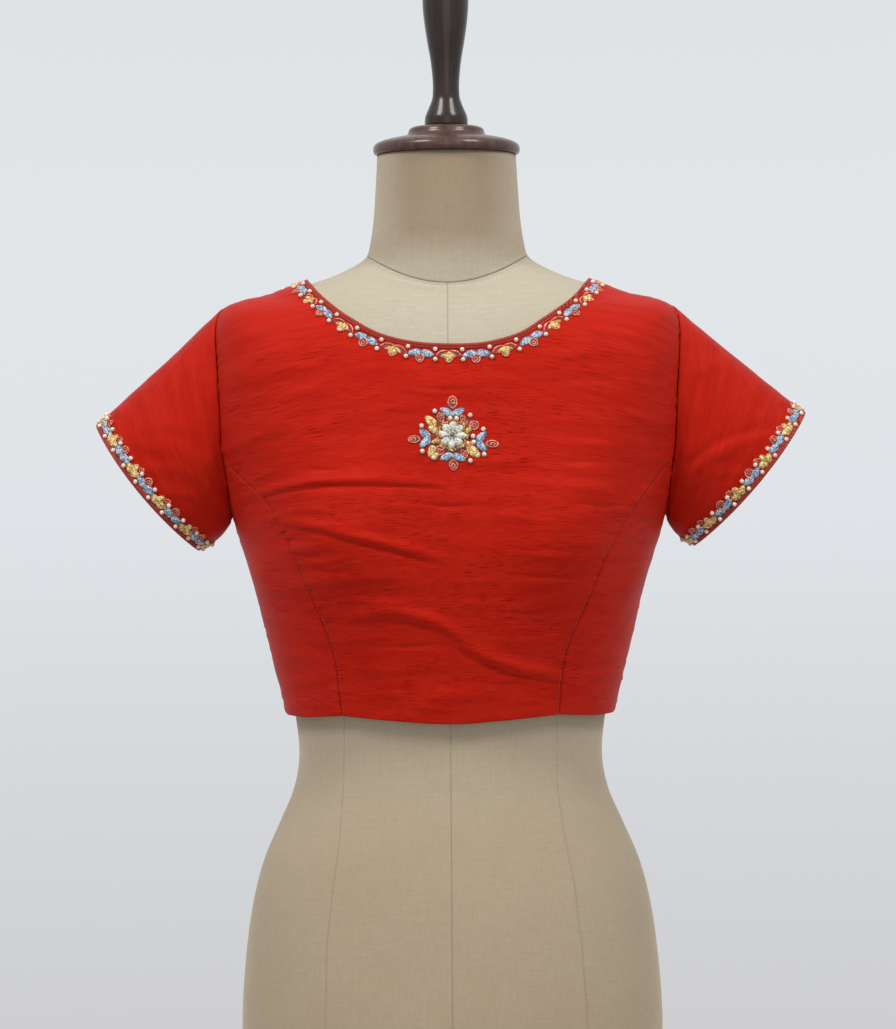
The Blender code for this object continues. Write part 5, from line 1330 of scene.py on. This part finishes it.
def sew_border(name, band, start, end, units, gold, slot_nodes, first_gold=True):
    """Sews units evenly between two places along the band, with two pearls between each pair."""
    works = {key: bmesh.new() for key in ("couching_and_shade", "blue", "gold", "coral", "pearl")}
    step = (end - start) / units
    for number in range(units):
        along = start + (number + 0.5) * step
        spread = 1 + 0.05 * math.sin(number * 2.3)
        (gold if (number % 2 == 0) == first_gold else blue_unit)(works, band, along, spread)
        for reach, shift in ((0.0052, 0.0), (0.0134, 0.0006)):
            if number < units - 1 or name.startswith("cuff"):
                frame = band.frame(along + step / 2 + shift * math.sin(number), reach)
                stamp(works["pearl"], PEARL, frame, 0, 0.00185, 0.00185, 0.00175, 0.0011)
                stamp(works["couching_and_shade"], LEAF, frame, 0, 0.0024, 0.0024, 0.0004)
    for key, work in works.items():
        piece = finish_piece(f"{name}_{key}", work, THREADS[key], "embroidery", *slot_nodes)
        print(piece.name, len(piece.data.polygons))


print("stamps are ready")

# %% [markdown]
# The neck border has seventeen units at the front, nine gold and eight blue, with a gold one at the centre.
# The back has ten on each side up to the overlap. On the cuffs the gold units are trefoils.

# %% Borders
BORDER_NEARER = {"neck": 0.0009, "cuff": 0.0012}   # how far the borders are moved towards the edge
CUFF_UNIT = 0.0168                                   # length of one unit of a cuff's border
REACHES = np.array([0.0, 0.002, 0.004, 0.006, 0.008, 0.010, 0.012, 0.014, 0.016, 0.018])


def neck_band(spots, side, lift_side):
    rows = []
    for reach in REACHES:
        walked = walk(spots, np.full(len(spots), reach), side)
        row = cloth_point(walked[:, 0], walked[:, 1], CLOTH, fine=True)
        lift = overlap_lift(row[:, 0], lift_side)
        row[:, 1] += lift
        rows.append(row)
    return np.array(rows)


front_band = Band(neck_band(front_neckline(), -1, -1), REACHES + BORDER_NEARER["neck"], (0, -1, 0.2))
length = front_band.arcs[-1]
sew_border("neck_front", front_band, 0.001, length - 0.001, 17, gold_unit, ["neck_border_front"])
for name, side in SIDES.items():
    band = Band(neck_band(back_neckline(side), -side, side), REACHES + BORDER_NEARER["neck"], (0, 1, 0.2))
    end = band.arcs[-1] - (OVERLAP if side < 0 else 0.004)
    sew_border("neck_back_" + name, band, 0.002, end, 10, gold_unit, ["neck_border_back_" + name], False)

for name, side in SIDES.items():
    turns = np.linspace(0, 2 * math.pi, 241) + math.radians(1)
    along = np.linspace(0.7, 1.0, 40)
    surface, normal = sleeve_surface(name, turns, along, CLOTH)
    rows = []
    for reach in REACHES:
        away = np.linalg.norm(surface - surface[-1], axis=-1)
        picked = [[np.interp(reach, away[::-1, column], surface[::-1, column, axis]) for axis in range(3)]
                  for column in range(len(turns))]
        rows.append(picked)
    band = Band(np.array(rows), REACHES + BORDER_NEARER["cuff"], normal[-1, 120])
    units = round(float(band.arcs[-1]) / CUFF_UNIT)
    units += units % 2
    sew_border("cuff_" + name, band, 0.0, band.arcs[-1], units, trefoil_unit, ["cuff_border_" + name])

# %% [markdown]
# A row of short stitches runs beside each princess seam, on the centre panel, and holds the seam allowance
# down. The thread is a little duller than the silk, so that the row hardly shows.

# %% Topstitching
STITCH_STEP, STITCH_IN = 0.0031, 0.0017
for name, side in SIDES.items():
    band = Band(neck_band(princess_spots(side, 121), side, -1), REACHES, (0, -1, 0))
    row = bmesh.new()
    for along in np.arange(0.004, band.arcs[-1] - 0.003, STITCH_STEP):
        stamp(row, BEAD, band.frame(along, STITCH_IN), 90, 0.00035, 0.0012, 0.00035, 0.0001)
    piece = finish_piece("topstitch_" + name, row, THREADS["stitch"], "embroidery")
    print(piece.name, len(piece.data.polygons))

# %% [markdown]
# The motif under the neckline is built round a rosette of cut stones in gold settings. Blue leaf pairs stand at
# its four sides with a coral loop beyond each, gold leaves and small loops fill the corners, and pearls mark
# the outline. The table gives each shape's place from the centre, the way its tip points and its size.

# %% Centre motif
MOTIF_MIDDLE = (3, 559.5)
# Columns in millimetres and degrees: across, up, turn from straight up towards the right, half width, half length.
MOTIF_PARTS = {
    "blue": ((-4.7, 18.2, -60, 3.0, 5.4), (4.7, 17.8, 62, 3.0, 5.4), (-21.4, 1.2, -50, 3.1, 5.4),
             (-21.2, -5.6, -130, 3.1, 5.4), (22.4, -1.4, 44, 3.1, 5.4), (22.6, -8.8, 136, 3.0, 5.6),
             (-4.8, -16.6, -112, 2.9, 5.4), (5.0, -17.2, 116, 3.0, 5.6)),
    "coral": ((0.3, 25.6, 0, 4.0, 5.2), (-29.6, -3.0, -92, 3.1, 5.0), (30.8, -7.0, 94, 3.1, 5.2),
              (0.8, -23.0, 172, 3.6, 4.6), (-9.0, 13.8, -25, 2.9, 4.2), (8.8, 11.8, 150, 2.5, 4.4),
              (16.6, 7.4, 60, 3.8, 4.4), (-9.8, -11.6, -150, 3.9, 4.2), (9.0, -14.6, 150, 2.5, 4.0)),
    "gold": ((-16.6, 10.8, -46, 3.6, 5.8), (-15.0, 4.6, -60, 2.9, 4.2), (16.2, -12.8, 132, 3.9, 6.6),
             (-16.4, -12.2, -160, 3.0, 5.0), (-13.2, -16.2, -170, 2.2, 3.2), (12.4, 3.8, 70, 2.1, 3.6),
             (13.0, -7.0, 110, 2.2, 3.4), (-13.0, -4.6, -110, 2.1, 3.6)),
    "arc": ((-6.8, 7.6, -42, 5.2, 4.4), (7.4, 6.6, 130, 5.0, 4.4), (-8.6, -9.6, 60, 4.6, 4.2),
            (11.0, -9.8, -60, 5.0, 4.6), (-12.2, 0.6, 10, 4.0, 4.2), (13.4, 8.2, 40, 4.2, 4.6),
            (-13.2, 9.0, 140, 4.0, 5.0), (15.6, -11.6, -40, 4.2, 5.4), (0.2, 13.0, 90, 3.6, 5.2)),
    "pearl": ((-13.5, 18.6), (13.9, 15.3), (-23.8, 7.2), (24.0, 4.3), (-23.4, -12.4), (24.6, -15.2), (-14.8, -17.4),
              (13.9, -20.1), (-1.6, 13.1), (3.4, 12.8), (16.1, -1.0), (16.5, -5.6)),
}
STONE_PETALS, STONE_RADIUS, LACE_BEADS = 8, 0.0112, 32


def motif_frame(across, up):
    """The frame at a place on the front panel, given in metres from the motif's middle."""
    centre = np.array(MOTIF_MIDDLE) * MM + (across, up)
    targets = centre + np.array([(0, 0), (0.001, 0), (0, 0.001)])
    spots = find_spots(targets, FRONT_AXES, FRONT_ANGLES)
    here, right, above = (Vector(p) for p in cloth_point(spots[:, 0], spots[:, 1], CLOTH, fine=True))
    forward, inward = (right - here).normalized(), above - here
    inward = (inward - forward * inward.dot(forward)).normalized()
    facing = inward.cross(forward)
    return here, forward, inward, facing if facing.y < 0 else -facing


# Each shape of the motif, and the rosette as a whole, gets a larger, flat maroon patch under it: partly couching,
# partly painted shade around the raised work.
works = {key: bmesh.new() for key in THREADS if key != "stitch"}
for key, shape, high, lift in (("blue", LEAF, 0.0015, 0.0), ("coral", LOOP, 0.0032, 0.0004),
                               ("gold", LEAF, 0.0017, 0.0)):
    for across, up, turn, wide, long in MOTIF_PARTS[key]:
        frame = motif_frame(across * MM, up * MM)
        stamp(works[key], shape, frame, turn, wide * MM, long * MM, high, lift)
        stamp(works["couching_and_shade"], LEAF, frame, turn, (wide + 0.6) * MM, (long + 0.6) * MM, 0.0004)
for across, up, turn, wide, long in MOTIF_PARTS["arc"]:
    frame = motif_frame(across * MM, up * MM)
    stamp(works["coral"], ARC, frame, turn, wide * MM, long * MM, 0.0010, 0.0006)
    stamp(works["couching_and_shade"], LEAF, frame, turn, 4 * MM, long * MM, 0.0005)
for across, up in MOTIF_PARTS["pearl"]:
    frame = motif_frame(across * MM, up * MM)
    stamp(works["pearl"], PEARL, frame, 0, 0.0019, 0.0019, 0.0018, 0.0012)
    stamp(works["couching_and_shade"], LEAF, frame, 0, 0.0024, 0.0024, 0.0004)
for number in range(STONE_PETALS):
    turn = 360 * (number + 0.1) / STONE_PETALS
    angle = math.radians(turn)
    for key, shape, reach, wide, long, high, lift in (
            ("stone", BEAD, 0.62, 0.0030, 0.0039, 0.0026, 0.0010),
            ("gold", LOOP, 0.62, 0.0033, 0.0044, 0.0026, 0.0006),
            ("gold", BEAD, 1.04, 0.0012, 0.0012, 0.0012, 0.0008),
            ("stone", BEAD, 0.22, 0.0011, 0.0011, 0.0012, 0.0014)):
        away = STONE_RADIUS * reach
        frame = motif_frame(math.sin(angle) * away, math.cos(angle) * away)
        stamp(works[key], shape, frame, turn, wide, long, high, lift)
for number in range(LACE_BEADS):
    angle = 2 * math.pi * number / LACE_BEADS
    away = STONE_RADIUS * (1.02 + 0.07 * math.cos(8 * angle))
    frame = motif_frame(math.sin(angle) * away, math.cos(angle) * away)
    stamp(works["gold"], BEAD, frame, 0, 0.0010, 0.0010, 0.0011, 0.0006)
stamp(works["couching_and_shade"], LEAF, motif_frame(0.0, 0.0), 0, 0.0136, 0.0136, 0.0005)
stamp(works["smoke"], BEAD, motif_frame(0.0, 0.0), 0, 0.0024, 0.0024, 0.0022, 0.0016)
for key, work in works.items():
    nodes = ["center_stone"] if key in ("stone", "smoke") else ["center_motif"]
    slot = "stone" if key in ("stone", "smoke") else "embroidery"
    piece = finish_piece("motif_" + key, work, THREADS[key], slot, *nodes)
    if key == "stone":
        piece.data.shade_flat()
    print(piece.name, len(piece.data.polygons))

# %% [markdown]
# The floor is a plain pale disc, and a wide dome behind everything gives the pale backdrop; the dome is not lit
# but glows with its own colour, darker towards the bottom, as a painted backdrop. Two softboxes hang above and in
# front, left and right, a weaker one fills in from the camera's side, and the rest is even light from all round.

# %% Floor, backdrop and light
def plain_material(name, colour, glow):
    plain, shader = new_material(name)
    where = node(plain, "ShaderNodeTexCoord").outputs["Object"]
    height = node(plain, "ShaderNodeSeparateXYZ", Vector=where).outputs["Z"]
    share = node(plain, "ShaderNodeMapRange", Value=height, From_Min=-1.8, From_Max=2.8).outputs[0]
    shade = stops(node(plain, "ShaderNodeValToRGB", Fac=share), *colour)
    fill(plain, shader, Base_Color=shade if not glow else (0, 0, 0, 1), Roughness=0.9, Specular_IOR_Level=0.0)
    if glow:
        fill(plain, shader, Emission_Color=shade, Emission_Strength=glow)
    return plain


def add_stage(name, shape, material):
    mesh = bpy.data.meshes.new(name)
    shape.to_mesh(mesh)
    shape.free()
    mesh.materials.append(material)
    mesh.shade_smooth()
    made = bpy.data.objects.new(name, mesh)
    bpy.context.scene.collection.objects.link(made)
    return made


def add_light(name, place, aim, size, power, colour):
    lamp = bpy.data.lights.new(name, "AREA")
    lamp.shape, lamp.size, lamp.energy, lamp.color = "SQUARE", size, power, linear(colour)[:3]
    made = bpy.data.objects.new(name, lamp)
    made.location = place
    made.rotation_euler = (Vector(aim) - Vector(place)).to_track_quat("-Z", "Y").to_euler()
    bpy.context.scene.collection.objects.link(made)
    return made


disc = bmesh.new()
bmesh.ops.create_circle(disc, cap_ends=True, segments=96, radius=0.60)
bmesh.ops.translate(disc, verts=disc.verts, vec=(0, 0, -0.0005))
add_stage("floor", disc, plain_material("pale_floor", ((0.0, "#D9DBDD"), (1.0, "#E2E4E6")), 0))
shell = bmesh.new()
bmesh.ops.create_uvsphere(shell, u_segments=64, v_segments=32, radius=14.0)
bmesh.ops.reverse_faces(shell, faces=shell.faces)
# Painted light: the dome glows with its own colour, lighter above and darker towards the bottom.
backdrop = add_stage("backdrop", shell, plain_material("pale_backdrop", (
    (0.0, "#CDCDCF"), (0.25, "#D5D7DA"), (0.5, "#E0E3E7"), (0.75, "#E2E6E9"), (1.0, "#DEE2E5")), 1.0))
backdrop.visible_diffuse = False

world = bpy.data.worlds.new("even_light")
world.use_nodes = True
world.node_tree.nodes["Background"].inputs["Color"].default_value = linear("#F1F2F4")
world.node_tree.nodes["Background"].inputs["Strength"].default_value = 0.32
bpy.context.scene.world = world
add_light("left_softbox", (-1.5, -1.4, 2.8), (0, 0, 0.52), 1.0, 50, "#FFFDF8")
add_light("right_softbox", (1.5, -1.4, 2.8), (0, 0, 0.52), 1.0, 42, "#FFFDF8")
add_light("fill", (0.4, -3.6, 0.9), (0, 0, 0.5), 2.2, 12, "#F8FAFF")
bpy.context.scene.view_settings.view_transform = "Standard"
